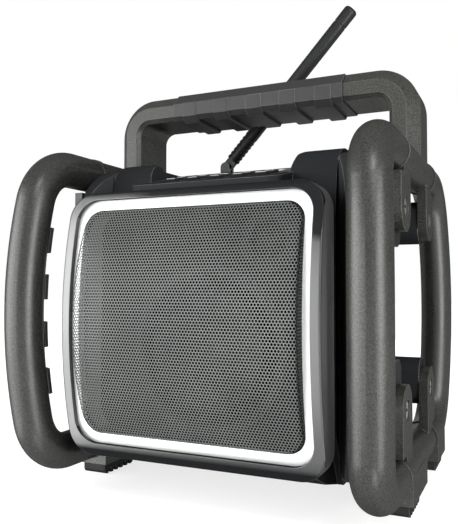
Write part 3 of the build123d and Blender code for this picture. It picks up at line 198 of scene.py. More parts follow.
def moulded(name, dark, pale, rough, grain_mm, depth_mm, edge_mm, edge_wear_and_highlight, sheen=0.25, speckle=0.55,
            film=0.0):
    """A moulded skin: a two-toned grain, drawn coarse so that it shows, edges painted paler as wear and
    highlight, and a wax film.
    """
    material, tree = new_tree(name)
    place = put(tree, "ShaderNodeTexCoord").outputs["Object"]
    patches = put(tree, "ShaderNodeTexNoise", {"Vector": place, "Scale": 1000 / patch_mm, "Detail": 4.0})
    grain = put(tree, "ShaderNodeTexNoise", {"Vector": place, "Scale": 1000 / grain_mm, "Detail": 3.0,
                                             "Roughness": 0.6})
    rounded = put(tree, "ShaderNodeBevel", {"Radius": edge_mm / 1000}, samples=4)
    flat = put(tree, "ShaderNodeNewGeometry").outputs["True Normal"]
    facing = put(tree, "ShaderNodeVectorMath", {0: rounded, 1: flat}, operation="DOT_PRODUCT")
    # edges are painted paler: partly wear, partly a painted highlight where rounded edges catch light
    edge = put(tree, "ShaderNodeMapRange", {"Value": facing.outputs["Value"], "From Min": 0.995,
                                            "From Max": 0.80, "To Min": 0.0, "To Max": edge_wear_and_highlight})
    rub = put(tree, "ShaderNodeMapRange", {"Value": patches.outputs["Fac"], "From Min": 0.35,
                                           "From Max": 0.65, "To Min": 0.2, "To Max": 1.0})
    worn_and_highlit_edges = put(tree, "ShaderNodeMath", {0: edge, 1: rub}, operation="MULTIPLY")
    tone = put(tree, "ShaderNodeMapRange", {"Value": grain.outputs["Fac"], "From Min": 0.36,
                                            "From Max": 0.64, "To Min": 0.0, "To Max": speckle})
    skin = put(tree, "ShaderNodeMix", {0: tone, 6: linear(dark), 7: linear(pale)}, data_type="RGBA")
    colour = put(tree, "ShaderNodeMix", {0: worn_and_highlit_edges, 6: skin.outputs[2], 7: linear(worn_and_highlit_edge_grey)},
                 data_type="RGBA")
    matt = put(tree, "ShaderNodeMapRange", {"Value": patches.outputs["Fac"], "From Min": 0.3,
                                            "From Max": 0.7, "To Min": rough - 0.05,
                                            "To Max": rough + 0.06})
    bump = put(tree, "ShaderNodeBump", {"Height": grain.outputs["Fac"], "Distance": depth_mm / 1000,
                                        "Strength": 0.8, "Normal": rounded})
    skin = put(tree, "ShaderNodeBsdfPrincipled", {"Base Color": colour.outputs[2], "Roughness": matt,
                                                  "Specular IOR Level": sheen, "Normal": bump})
    if film:
        wax = put(tree, "ShaderNodeBsdfAnisotropic", {"Color": linear("#ffffff"), "Roughness": matt,
                                                      "Normal": bump})
        skin = put(tree, "ShaderNodeMixShader", {0: film, 1: skin, 2: wax})
    put(tree, "ShaderNodeOutputMaterial", {"Surface": skin})
    return material


def dress(material, *names):
    """Gives CAD nodes their finish."""
    for name in names:
        for place in parts[name].material_slots:
            place.material = material


case_abs = moulded("moulded black PC ABS", "#1c1d1e", "#28292a", rough=0.5, grain_mm=0.9,
                   depth_mm=0.04, edge_mm=1.0, edge_wear_and_highlight=0.9, sheen=0.0, film=0.005)
dress(case_abs, "front_housing", "rear_housing")
cheek_abs = moulded("moulded grey-black PC ABS", "#262728", "#333435", rough=0.5, grain_mm=0.9,
                    depth_mm=0.03, edge_mm=1.0, edge_wear_and_highlight=0.9, sheen=0.0, film=0.006)
dress(cheek_abs, "left_cheek", "right_cheek")


# ---- Speaker bezel --------------------------------------------------------------------------
# The moulding round the trim, in the case's PC/ABS and pressed onto the front housing. Its lip is
# polished in the tool and shines, and its drawn sides are rougher. The sides are painted near-black
# as shade, and the land behind them is painted grey as light.

bezel_abs = moulded("half-gloss black PC ABS", "#161718", "#1e1f20", rough=0.26, grain_mm=0.9,
                    depth_mm=0.008, edge_mm=1.0, edge_wear_and_highlight=0.8, sheen=0.5)
dress(bezel_abs, "speaker_bezel")
tree = bezel_abs.node_tree
skin = next(node for node in tree.nodes if node.type == "BSDF_PRINCIPLED")
place = put(tree, "ShaderNodeTexCoord").outputs["Object"]
flat = put(tree, "ShaderNodeNewGeometry").outputs["Normal"]
facing = put(tree, "ShaderNodeSeparateXYZ", {0: flat}).outputs

# how far the skin faces forward or sideways, from where the drawn sides start to a full lip or side
turned_from = 0.3
turned_full = 0.75
side_rough = 0.56
lip_rough = 0.3
forward = put(tree, "ShaderNodeMath", {0: facing[1]}, operation="ABSOLUTE")
polish = put(tree, "ShaderNodeMapRange", {"Value": forward, "From Min": turned_from,
                                          "From Max": turned_full, "To Min": side_rough,
                                          "To Max": lip_rough})
sideways = put(tree, "ShaderNodeMath", {0: facing[0]}, operation="ABSOLUTE")
painted_side_share = put(tree, "ShaderNodeMapRange", {"Value": sideways, "From Min": turned_from,
                                        "From Max": turned_full, "To Min": 0.0, "To Max": 1.0})
land_depth = 0.019
land_blend = 0.001
land_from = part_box("speaker_bezel")[1].y - land_depth
deep = put(tree, "ShaderNodeSeparateXYZ", {0: place}).outputs[1]
land = put(tree, "ShaderNodeMapRange", {"Value": deep, "From Min": land_from - land_blend,
                                        "From Max": land_from, "To Min": 0.0, "To Max": 1.0})
# painted shade and light: the sides are near-black at the front and pale grey on the land behind
painted_side_shade_and_light = put(tree, "ShaderNodeMix", {0: land, 6: linear("#0b0b0c"), 7: linear("#59595a")},
           data_type="RGBA")
side = put(tree, "ShaderNodeMix", {0: painted_side_share, 6: skin.inputs["Base Color"].links[0].from_socket,
                                   7: painted_side_shade_and_light.outputs[2]}, data_type="RGBA")

# the polish fades where the lip turns upward, sooner toward the right, and is weaker underneath
across_share = 0.6
top_from = 0.215
top_full = 0.23
under_from = -0.23
under_full = -0.26
lip_gloss = 0.9
top_gloss = 0.08
under_share = 0.4
land_share = 0.02
across = put(tree, "ShaderNodeSeparateXYZ", {0: place}).outputs[0]
upper = put(tree, "ShaderNodeMath", {0: across, 1: across_share, 2: facing[2]},
            operation="MULTIPLY_ADD")
shine = put(tree, "ShaderNodeMapRange", {"Value": upper, "From Min": top_from, "From Max": top_full,
                                         "To Min": lip_gloss, "To Max": top_gloss})
lower = put(tree, "ShaderNodeMapRange", {"Value": facing[2], "From Min": under_full,
                                         "From Max": under_from, "To Min": under_share,
                                         "To Max": 1.0})
shine = put(tree, "ShaderNodeMath", {0: shine, 1: lower}, operation="MULTIPLY")
outer = put(tree, "ShaderNodeMapRange", {"Value": land, "From Min": 0.0, "From Max": 1.0,
                                         "To Min": 1.0, "To Max": land_share})
shine = put(tree, "ShaderNodeMath", {0: shine, 1: outer}, operation="MULTIPLY")
tree.links.new(shine.outputs[0], skin.inputs["Specular IOR Level"])
tree.links.new(polish.outputs[0], skin.inputs["Roughness"])
tree.links.new(side.outputs[2], skin.inputs["Base Color"])


# ---- Guard tubes, lower bars and handle -----------------------------------------------------
# Bent guards, their lower bars and the handle bow, bolted to the cheeks: glass-filled nylon with a
# coarse stone texture, which scatters light as a grey speckle. A film of wax left by the mould gives
# the tubes a soft sheen. The texture is drawn about twice its real size, so that it shows.

guard_nylon = moulded("stone-textured guard nylon", "#0b0c0a", "#30312e", rough=0.33, grain_mm=1.3,
                      depth_mm=0.15, edge_mm=0.8, edge_wear_and_highlight=0.3, sheen=0.0, speckle=1.0, film=0.031)
dress(guard_nylon, "front_bumper_left", "front_bumper_right", "rear_bumper_left", "rear_bumper_right",
      "lower_bridge_left", "lower_bridge_right")
handle_nylon = moulded("stone-textured handle nylon", "#161715", "#3a3b37", rough=0.38, grain_mm=1.3,
                       depth_mm=0.15, edge_mm=1.0, edge_wear_and_highlight=0.6, sheen=0.0, speckle=1.0, film=0.02)
dress(handle_nylon, "handle")


# ---- Rubber grip, finger pads and feet ------------------------------------------------------
# Black TPR, moulded onto the handle and the tubes with a matt grain. It shows no sharp gloss, and its
# edges grey a little, partly with rubbing and partly as a painted highlight. The feet are a harder and
# darker mix.

grip_rubber = moulded("matt black moulded rubber", "#222322", "#363736", rough=0.42, grain_mm=0.8,
                      depth_mm=0.05, edge_mm=1.1, edge_wear_and_highlight=0.6, sheen=0.0, film=0.019)
dress(grip_rubber, "handle_grip", "finger_pads_left", "finger_pads_right")
foot_rubber = moulded("harder foot rubber", "#191a19", "#282928", rough=0.45, grain_mm=0.8,
                      depth_mm=0.05, edge_mm=1.1, edge_wear_and_highlight=0.5, sheen=0.0, film=0.01)
dress(foot_rubber, "front_foot_left", "front_foot_right", "rear_foot_left", "rear_foot_right")


# ---- Speaker trim ---------------------------------------------------------------------------
# A stamped aluminium frame round the grille, pressed into the bezel. It is fine-blasted and clear
# anodised, so it shows a bright even satin without streaks.

blast_mm = 0.556
blast_depth_mm = 0.03
cloud_mm = 33.3
edge_mm = 0.5
trim_alu, tree = new_tree("blasted anodised aluminium")
place = put(tree, "ShaderNodeTexCoord").outputs["Object"]
blast = put(tree, "ShaderNodeTexNoise", {"Vector": place, "Scale": 1000 / blast_mm, "Detail": 2.0})
cloud = put(tree, "ShaderNodeTexNoise", {"Vector": place, "Scale": 1000 / cloud_mm, "Detail": 3.0})
rounded = put(tree, "ShaderNodeBevel", {"Radius": edge_mm / 1000}, samples=4)
bump = put(tree, "ShaderNodeBump", {"Height": blast.outputs["Fac"],
                                    "Distance": blast_depth_mm / 1000, "Normal": rounded})
matt = put(tree, "ShaderNodeMapRange", {"Value": cloud.outputs["Fac"], "From Min": 0.3,
                                        "From Max": 0.7, "To Min": 0.54, "To Max": 0.6})
skin = put(tree, "ShaderNodeBsdfPrincipled", {"Base Color": linear("#c8cac9"), "Metallic": 1.0,
                                              "Roughness": matt, "Normal": bump})
put(tree, "ShaderNodeOutputMaterial", {"Surface": skin})
dress(trim_alu, "silver_trim")


# ---- Perforated grille ----------------------------------------------------------------------
# Sheet steel punched with 2.4 mm holes in staggered rows, pressed into a dome that stands proud of
# the trim, and powder coated in grey. Faces that turn from the front, the walls of the holes and the
# folded sides, are painted near-black as shade.

peel_mm = 1.11
peel_depth_mm = 0.04
cloud_mm = 71.4
# a hole's wall faces forward less than wall_facing, and the sheet itself more than sheet_facing
wall_facing = 0.4
sheet_facing = 0.9
grille_coat, tree = new_tree("grey powder-coated steel")
place = put(tree, "ShaderNodeTexCoord").outputs["Object"]
peel = put(tree, "ShaderNodeTexNoise", {"Vector": place, "Scale": 1000 / peel_mm, "Detail": 3.0})
cloud = put(tree, "ShaderNodeTexNoise", {"Vector": place, "Scale": 1000 / cloud_mm, "Detail": 2.0})
bump = put(tree, "ShaderNodeBump", {"Height": peel.outputs["Fac"],
                                    "Distance": peel_depth_mm / 1000, "Strength": 0.7})
tone = put(tree, "ShaderNodeMapRange", {"Value": cloud.outputs["Fac"], "From Min": 0.3,
                                        "From Max": 0.7, "To Min": 0.0, "To Max": 1.0})
coat = put(tree, "ShaderNodeMix", {0: tone, 6: linear("#5a5d5b"), 7: linear("#6a6d6b")},
           data_type="RGBA")
flat = put(tree, "ShaderNodeNewGeometry").outputs["Normal"]
forward = put(tree, "ShaderNodeSeparateXYZ", {0: flat}).outputs[1]
forward = put(tree, "ShaderNodeMath", {0: forward}, operation="ABSOLUTE")
# faces turned from the front, the hole walls and the folded sides, get a painted near-black shade
painted_shade_share = put(tree, "ShaderNodeMapRange", {"Value": forward, "From Min": wall_facing,
                                           "From Max": sheet_facing, "To Min": 1.0, "To Max": 0.0})
coat = put(tree, "ShaderNodeMix", {0: painted_shade_share, 6: coat.outputs[2], 7: linear("#121312")},
           data_type="RGBA")
gloss = put(tree, "ShaderNodeMapRange", {"Value": forward, "From Min": wall_facing,
                                         "From Max": sheet_facing, "To Min": 0.02, "To Max": 0.3})
skin = put(tree, "ShaderNodeBsdfPrincipled", {"Base Color": coat.outputs[2], "Roughness": 0.36,
                                              "Specular IOR Level": gloss, "Normal": bump})
put(tree, "ShaderNodeOutputMaterial", {"Surface": skin})

# the sheet fits inside the trim's window, whose face is a cylinder of radius trim_round
trim_low, trim_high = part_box("silver_trim")
grille_mid = (trim_low.z + trim_high.z) / 2
trim_side = 0.0073
trim_end = 0.0093
trim_round = 0.4358
trim_front = trim_low.y
sheet_gap = 0.0004
sheet_half_x = (trim_high.x - trim_low.x) / 2 - trim_side - sheet_gap
sheet_half_z = (trim_high.z - trim_low.z) / 2 - trim_end - sheet_gap
sheet_corner = 0.0156
# the dome's front stands dome_rise before the trim, and its top and bottom edges edge_rise
dome_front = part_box("speaker_grille")[0].y
dome_rise = trim_front - dome_front
edge_rise = 0.001
edge_back = trim_round - sqrt(trim_round ** 2 - sheet_half_z ** 2) + dome_rise - edge_rise
dome_round = (sheet_half_z ** 2 + edge_back ** 2) / (2 * edge_back)

sheet = bpy.data.node_groups.new("pressed perforated sheet", "GeometryNodeTree")
for name, kind in (("Pitch", "NodeSocketFloat"), ("Row", "NodeSocketFloat"), ("Hole", "NodeSocketFloat"),
                   ("Gauge", "NodeSocketFloat"), ("Across", "NodeSocketInt"), ("Up", "NodeSocketInt"),
                   ("Half Width", "NodeSocketFloat"), ("Half Height", "NodeSocketFloat"),
                   ("Corner", "NodeSocketFloat"), ("Bend", "NodeSocketFloat"),
                   ("Dome Radius", "NodeSocketFloat"), ("Front", "NodeSocketFloat"),
                   ("Middle", "NodeSocketFloat"), ("Trim Radius", "NodeSocketFloat"),
                   ("Trim Front", "NodeSocketFloat"), ("Tuck", "NodeSocketFloat"),
                   ("Weld", "NodeSocketFloat"), ("Material", "NodeSocketMaterial")):
    sheet.interface.new_socket(name, in_out="INPUT", socket_type=kind)
sheet.interface.new_socket("Geometry", in_out="OUTPUT", socket_type="NodeSocketGeometry")
given = put(sheet, "NodeGroupInput").outputs
# one cell: a hexagon of sheet with a round hole, and the hole's wall
hole_sides = 8
wide = put(sheet, "ShaderNodeMath", {0: given["Pitch"], 1: 1 / sqrt(3)}, operation="MULTIPLY")
hexagon = put(sheet, "GeometryNodeCurvePrimitiveCircle", {"Resolution": 6, "Radius": wide})
even = put(sheet, "ShaderNodeMath", {0: given["Pitch"], 1: sqrt(3) / 2}, operation="MULTIPLY")
tall = put(sheet, "ShaderNodeMath", {0: given["Row"], 1: even}, operation="DIVIDE")
stretch = put(sheet, "ShaderNodeCombineXYZ", {0: 1.0, 1: tall, 2: 1.0})
hexagon = put(sheet, "GeometryNodeTransform", {"Geometry": hexagon, "Rotation": (0, 0, pi / 2)})
hexagon = put(sheet, "GeometryNodeTransform", {"Geometry": hexagon, "Scale": stretch})
bore = put(sheet, "ShaderNodeMath", {0: given["Hole"], 1: 0.5}, operation="MULTIPLY")
ring = put(sheet, "GeometryNodeCurvePrimitiveCircle", {"Resolution": hole_sides, "Radius": bore})
outline = put(sheet, "GeometryNodeJoinGeometry", {0: ring})
sheet.links.new(hexagon.outputs[0], outline.inputs[0])
web = put(sheet, "GeometryNodeFillCurve", {"Curve": outline}, mode="TRIANGLES")
edge = put(sheet, "GeometryNodeMeshCircle", {"Vertices": hole_sides, "Radius": bore})
back = put(sheet, "ShaderNodeMath", {0: given["Gauge"], 1: -1.0}, operation="MULTIPLY")
down = put(sheet, "ShaderNodeCombineXYZ", {2: back})
wall = put(sheet, "GeometryNodeExtrudeMesh", {"Mesh": edge, "Offset": down, "Offset Scale": 1.0},
           mode="EDGES")
cell = put(sheet, "GeometryNodeJoinGeometry", {0: web})
sheet.links.new(wall.outputs[0], cell.inputs[0])
# the cells in staggered rows
columns = put(sheet, "ShaderNodeMath", {0: given["Across"], 1: 1.0}, operation="SUBTRACT")
rows = put(sheet, "ShaderNodeMath", {0: given["Up"], 1: 1.0}, operation="SUBTRACT")
span = put(sheet, "ShaderNodeMath", {0: columns, 1: given["Pitch"]}, operation="MULTIPLY")
rise = put(sheet, "ShaderNodeMath", {0: rows, 1: given["Row"]}, operation="MULTIPLY")
grid = put(sheet, "GeometryNodeMeshGrid", {"Size X": span, "Size Y": rise, "Vertices X": given["Across"],
                                           "Vertices Y": given["Up"]})
at = put(sheet, "ShaderNodeSeparateXYZ", {0: put(sheet, "GeometryNodeInputPosition")}).outputs
level = put(sheet, "ShaderNodeMath", {0: at[1], 1: given["Row"]}, operation="DIVIDE")
level = put(sheet, "ShaderNodeMath", {0: level}, operation="ROUND")
odd = put(sheet, "ShaderNodeMath", {0: level, 1: 2.0}, operation="FLOORED_MODULO")
slip = put(sheet, "ShaderNodeMath", {0: odd, 1: given["Pitch"]}, operation="MULTIPLY")
slip = put(sheet, "ShaderNodeMath", {0: slip, 1: 0.5}, operation="MULTIPLY")
shift = put(sheet, "ShaderNodeCombineXYZ", {0: slip})
grid = put(sheet, "GeometryNodeSetPosition", {"Geometry": grid, "Offset": shift})
cells = put(sheet, "GeometryNodeInstanceOnPoints", {"Points": grid, "Instance": cell})
cells = put(sheet, "GeometryNodeRealizeInstances", {"Geometry": cells})
cells = put(sheet, "GeometryNodeMergeByDistance", {"Geometry": cells, "Distance": given["Weld"]})
# the flat sheet is pressed over the dome and folded back at its left and right edges
at = put(sheet, "ShaderNodeSeparateXYZ", {0: put(sheet, "GeometryNodeInputPosition")}).outputs
turn = put(sheet, "ShaderNodeMath", {0: at[1], 1: given["Dome Radius"]}, operation="DIVIDE")
lift = put(sheet, "ShaderNodeMath", {0: turn}, operation="SINE")
height = put(sheet, "ShaderNodeMath", {0: lift, 1: given["Dome Radius"]}, operation="MULTIPLY")
lean = put(sheet, "ShaderNodeMath", {0: turn}, operation="COSINE")
fall = put(sheet, "ShaderNodeMath", {0: 1.0, 1: lean}, operation="SUBTRACT")
fall = put(sheet, "ShaderNodeMath", {0: fall, 1: given["Dome Radius"]}, operation="MULTIPLY")
reach = put(sheet, "ShaderNodeMath", {0: given["Half Height"], 1: given["Corner"]}, operation="SUBTRACT")
far = put(sheet, "ShaderNodeMath", {0: height}, operation="ABSOLUTE")
past = put(sheet, "ShaderNodeMath", {0: far, 1: reach}, operation="SUBTRACT")
past = put(sheet, "ShaderNodeMath", {0: past, 1: 0.0}, operation="MAXIMUM")
past = put(sheet, "ShaderNodeMath", {0: past, 1: given["Corner"]}, operation="MINIMUM")
past = put(sheet, "ShaderNodeMath", {0: past, 1: past}, operation="MULTIPLY")
square = put(sheet, "ShaderNodeMath", {0: given["Corner"], 1: given["Corner"]}, operation="MULTIPLY")
left = put(sheet, "ShaderNodeMath", {0: square, 1: past}, operation="SUBTRACT")
root = put(sheet, "ShaderNodeMath", {0: left}, operation="SQRT")
straight = put(sheet, "ShaderNodeMath", {0: given["Half Width"], 1: given["Corner"]}, operation="SUBTRACT")
side = put(sheet, "ShaderNodeMath", {0: straight, 1: root}, operation="ADD")
start = put(sheet, "ShaderNodeMath", {0: side, 1: given["Bend"]}, operation="SUBTRACT")
out = put(sheet, "ShaderNodeMath", {0: at[0]}, operation="ABSOLUTE")
hand = put(sheet, "ShaderNodeMath", {0: at[0]}, operation="SIGN")
along = put(sheet, "ShaderNodeMath", {0: out, 1: start}, operation="MINIMUM")
over = put(sheet, "ShaderNodeMath", {0: out, 1: start}, operation="SUBTRACT")
over = put(sheet, "ShaderNodeMath", {0: over, 1: 0.0}, operation="MAXIMUM")
angle = put(sheet, "ShaderNodeMath", {0: over, 1: given["Bend"]}, operation="DIVIDE")
angle = put(sheet, "ShaderNodeMath", {0: angle, 1: pi / 2}, operation="MINIMUM")
quarter = put(sheet, "ShaderNodeMath", {0: given["Bend"], 1: pi / 2}, operation="MULTIPLY")
skirt = put(sheet, "ShaderNodeMath", {0: over, 1: quarter}, operation="SUBTRACT")
skirt = put(sheet, "ShaderNodeMath", {0: skirt, 1: 0.0}, operation="MAXIMUM")
turned = put(sheet, "ShaderNodeMath", {0: given["Bend"], 1: at[2]}, operation="ADD")
sine = put(sheet, "ShaderNodeMath", {0: angle}, operation="SINE")
cosine = put(sheet, "ShaderNodeMath", {0: angle}, operation="COSINE")
bent = put(sheet, "ShaderNodeMath", {0: turned, 1: sine, 2: along}, operation="MULTIPLY_ADD")
final_x = put(sheet, "ShaderNodeMath", {0: bent, 1: hand}, operation="MULTIPLY")
level = put(sheet, "ShaderNodeMath", {0: turned, 1: cosine}, operation="MULTIPLY")
deep = put(sheet, "ShaderNodeMath", {0: given["Bend"], 1: level}, operation="SUBTRACT")
deep = put(sheet, "ShaderNodeMath", {0: deep, 1: skirt}, operation="ADD")
deep = put(sheet, "ShaderNodeMath", {0: deep, 1: fall}, operation="ADD")
final_y = put(sheet, "ShaderNodeMath", {0: deep, 1: given["Front"]}, operation="ADD")
final_z = put(sheet, "ShaderNodeMath", {0: height, 1: given["Middle"]}, operation="ADD")
pressed = put(sheet, "ShaderNodeCombineXYZ", {0: final_x, 1: final_y, 2: final_z})
cells = put(sheet, "GeometryNodeSetPosition", {"Geometry": cells, "Position": pressed})
# cells past the edge, or more than the tuck behind the trim's face, are trimmed off
at = put(sheet, "ShaderNodeSeparateXYZ", {0: put(sheet, "GeometryNodeInputPosition")}).outputs
off = put(sheet, "ShaderNodeMath", {0: at[2], 1: given["Middle"]}, operation="SUBTRACT")
high = put(sheet, "ShaderNodeMath", {0: off}, operation="ABSOLUTE")
beyond = put(sheet, "ShaderNodeMath", {0: high, 1: given["Half Height"]}, operation="GREATER_THAN")
drop = put(sheet, "ShaderNodeMath", {0: off, 1: off}, operation="MULTIPLY")
big = put(sheet, "ShaderNodeMath", {0: given["Trim Radius"], 1: given["Trim Radius"]}, operation="MULTIPLY")
drop = put(sheet, "ShaderNodeMath", {0: big, 1: drop}, operation="SUBTRACT")
drop = put(sheet, "ShaderNodeMath", {0: drop}, operation="SQRT")
drop = put(sheet, "ShaderNodeMath", {0: given["Trim Radius"], 1: drop}, operation="SUBTRACT")
limit = put(sheet, "ShaderNodeMath", {0: given["Trim Front"], 1: drop}, operation="ADD")
limit = put(sheet, "ShaderNodeMath", {0: limit, 1: given["Tuck"]}, operation="ADD")
behind = put(sheet, "ShaderNodeMath", {0: at[1], 1: limit}, operation="GREATER_THAN")
gone = put(sheet, "ShaderNodeMath", {0: beyond, 1: behind}, operation="MAXIMUM")
cells = put(sheet, "GeometryNodeDeleteGeometry", {"Geometry": cells, "Selection": gone}, domain="FACE")
cells = put(sheet, "GeometryNodeRealizeInstances", {"Geometry": cells})
coated = put(sheet, "GeometryNodeSetMaterial", {"Geometry": cells, "Material": given["Material"]})
put(sheet, "NodeGroupOutput", {"Geometry": coated})


def grown(name, group, values):
    """Runs a node tree with its named inputs on a bare mesh, and keeps the result as a plain mesh."""
    seed = new_piece(name, [(0, 0, 0)], [], grille_coat)
    step = seed.modifiers.new("grow", "NODES")
    step.node_group = group
    for item in group.interface.items_tree:
        if item.in_out == "INPUT" and item.name in values:
            step[item.identifier] = values[item.name]
    made = bpy.data.meshes.new_from_object(seed.evaluated_get(bpy.context.evaluated_depsgraph_get()))
    made.name = name
    seed.modifiers.remove(step)
    seed.data = made
    return seed


hole_pitch = 0.00276
row_pitch = 0.00246
hole_width = 0.0024
gauge = 0.0005
fold = 0.004
tuck = 0.002
weld = 0.00002
across = 2 * int((sheet_half_x + dome_rise + fold) / hole_pitch) + 1
up = 2 * int(dome_round * asin(sheet_half_z / dome_round) / row_pitch) + 1
grille = grown("grille_sheet", sheet, {
    "Pitch": hole_pitch, "Row": row_pitch, "Hole": hole_width, "Gauge": gauge, "Across": across,
    "Up": up, "Half Width": sheet_half_x, "Half Height": sheet_half_z, "Corner": sheet_corner,
    "Bend": fold, "Dome Radius": dome_round, "Front": dome_front, "Middle": grille_mid,
    "Trim Radius": trim_round, "Trim Front": trim_front, "Tuck": tuck, "Weld": weld,
    "Material": grille_coat})
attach(grille, "case")
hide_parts("speaker_grille")


# ---- Loudspeakers behind the grille ---------------------------------------------------------
# A black fibreboard baffle with a paper-cone woofer on a rubber surround and a silk-dome tweeter in
# a moulded horn, both screwed on. They are matt and dark, so only their larger curves show between
# the holes. Their fibres and rolling marks are drawn coarser than real ones, so that they show.

def fibrous(name, dark, pale, rough, fibre_mm, depth_mm):
    """A matt skin of pressed fibre or woven silk, with streaks between two tones."""
    material, tree = new_tree(name)
    place = put(tree, "ShaderNodeTexCoord").outputs["Object"]
    fibres = put(tree, "ShaderNodeTexNoise", {"Vector": place, "Scale": 1000 / fibre_mm, "Detail": 6.0,
                                              "Distortion": 1.2})
    tone = put(tree, "ShaderNodeMapRange", {"Value": fibres.outputs["Fac"], "From Min": 0.3,
                                            "From Max": 0.7, "To Min": 0.0, "To Max": 1.0})
    colour = put(tree, "ShaderNodeMix", {0: tone, 6: linear(dark), 7: linear(pale)}, data_type="RGBA")
    bump = put(tree, "ShaderNodeBump", {"Height": fibres.outputs["Fac"],
                                        "Distance": depth_mm / 1000})
    skin = put(tree, "ShaderNodeBsdfPrincipled", {"Base Color": colour.outputs[2], "Roughness": rough,
                                                  "Specular IOR Level": 0.1, "Normal": bump})
    put(tree, "ShaderNodeOutputMaterial", {"Surface": skin})
    return material


cone_paper = fibrous("pressed black cone paper", "#0d0d0d", "#181818", rough=0.7, fibre_mm=2.5,
                     depth_mm=0.12)
baffle_board = fibrous("black painted fibreboard", "#060606", "#0c0c0c", rough=0.8, fibre_mm=1.2,
                       depth_mm=0.08)
dome_silk = fibrous("coated silk dome", "#0e0e10", "#19191b", rough=0.5, fibre_mm=0.8, depth_mm=0.04)
dress(cone_paper, "woofer_cone")
dress(baffle_board, "speaker_baffle")
dress(dome_silk, "tweeter_dome", "woofer_dust_cap")
surround_rubber = moulded("soft surround rubber", "#060606", "#0b0b0b", rough=0.6, grain_mm=0.6,
                          depth_mm=0.02, edge_mm=0.4, edge_wear_and_highlight=0.1, sheen=0.02)
dress(surround_rubber, "woofer_surround")


metal_edge_mm = 0.3


def metal(name, dark, pale, rough, mark_mm, depth_mm):
    """A metal skin with the soft marks that rolling, pressing or plating leaves, and round edges."""
    material, tree = new_tree(name)
    place = put(tree, "ShaderNodeTexCoord").outputs["Object"]
    marks = put(tree, "ShaderNodeTexNoise", {"Vector": place, "Scale": 1000 / mark_mm, "Detail": 4.0})
    tone = put(tree, "ShaderNodeMapRange", {"Value": marks.outputs["Fac"], "From Min": 0.3,
                                            "From Max": 0.7, "To Min": 0.0, "To Max": 1.0})
    colour = put(tree, "ShaderNodeMix", {0: tone, 6: linear(dark), 7: linear(pale)}, data_type="RGBA")
    matt = put(tree, "ShaderNodeMapRange", {"Value": marks.outputs["Fac"], "From Min": 0.3,
                                            "From Max": 0.7, "To Min": rough - 0.06,
                                            "To Max": rough + 0.08})
    rounded = put(tree, "ShaderNodeBevel", {"Radius": metal_edge_mm / 1000}, samples=4)
    bump = put(tree, "ShaderNodeBump", {"Height": marks.outputs["Fac"], "Distance": depth_mm / 1000,
                                        "Strength": 0.6, "Normal": rounded})
    skin = put(tree, "ShaderNodeBsdfPrincipled", {"Base Color": colour.outputs[2], "Metallic": 1.0,
                                                  "Roughness": matt, "Normal": bump})
    put(tree, "ShaderNodeOutputMaterial", {"Surface": skin})
    return material


pressed_steel = metal("black-passivated pressed steel", "#141415", "#1e1e1f", rough=0.42,
                      mark_mm=3.0, depth_mm=0.03)
magnet_ferrite = moulded("ground ferrite", "#26272a", "#34363a", rough=0.5, grain_mm=0.5,
                         depth_mm=0.02, edge_mm=0.3, edge_wear_and_highlight=0.2)
horn_plastic = moulded("black horn plastic", "#080808", "#0d0d0d", rough=0.4, grain_mm=1.0,
                       depth_mm=0.01, edge_mm=0.4, edge_wear_and_highlight=0.1, sheen=0.1)
dress(pressed_steel, "woofer_basket")
dress(magnet_ferrite, "woofer_magnet")
dress(horn_plastic, "tweeter_body")


# ---- Key panel, keys and display ------------------------------------------------------------
# A sloping panel moulded in satin-black plastic and set into the front housing, with two rows of
# silicone keys and an acrylic window over a liquid-crystal display. Each key carries one raised bar
# to feel for, pad printed in a pale ink.

panel_plastic = moulded("satin black panel plastic", "#131415", "#1b1d1e", rough=0.5, grain_mm=0.8,
                        depth_mm=0.015, edge_mm=0.6, edge_wear_and_highlight=0.5, sheen=0.01)
key_rubber = moulded("black silicone rubber", "#1b1c1d", "#262728", rough=0.5, grain_mm=0.6,
                     depth_mm=0.02, edge_mm=0.6, edge_wear_and_highlight=0.35, sheen=0.02)
dress(panel_plastic, "control_panel")
key_names = [name for name in parts if name.startswith("key_")]
dress(key_rubber, *key_names)

ink_mm = 0.667
ink_depth_mm = 0.03
mark_ink, tree = new_tree("pale pad-printing ink")
place = put(tree, "ShaderNodeTexCoord").outputs["Object"]
thin = put(tree, "ShaderNodeTexNoise", {"Vector": place, "Scale": 1000 / ink_mm, "Detail": 3.0})
tone = put(tree, "ShaderNodeMapRange", {"Value": thin.outputs["Fac"], "From Min": 0.35,
                                        "From Max": 0.6, "To Min": 0.0, "To Max": 1.0})
ink = put(tree, "ShaderNodeMix", {0: tone, 6: linear("#7c7e7b"), 7: linear("#b4b6b3")},
          data_type="RGBA")
bump = put(tree, "ShaderNodeBump", {"Height": thin.outputs["Fac"],
                                    "Distance": ink_depth_mm / 1000})
skin = put(tree, "ShaderNodeBsdfPrincipled", {"Base Color": ink.outputs[2], "Roughness": 0.5,
                                              "Normal": bump})
put(tree, "ShaderNodeOutputMaterial", {"Surface": skin})

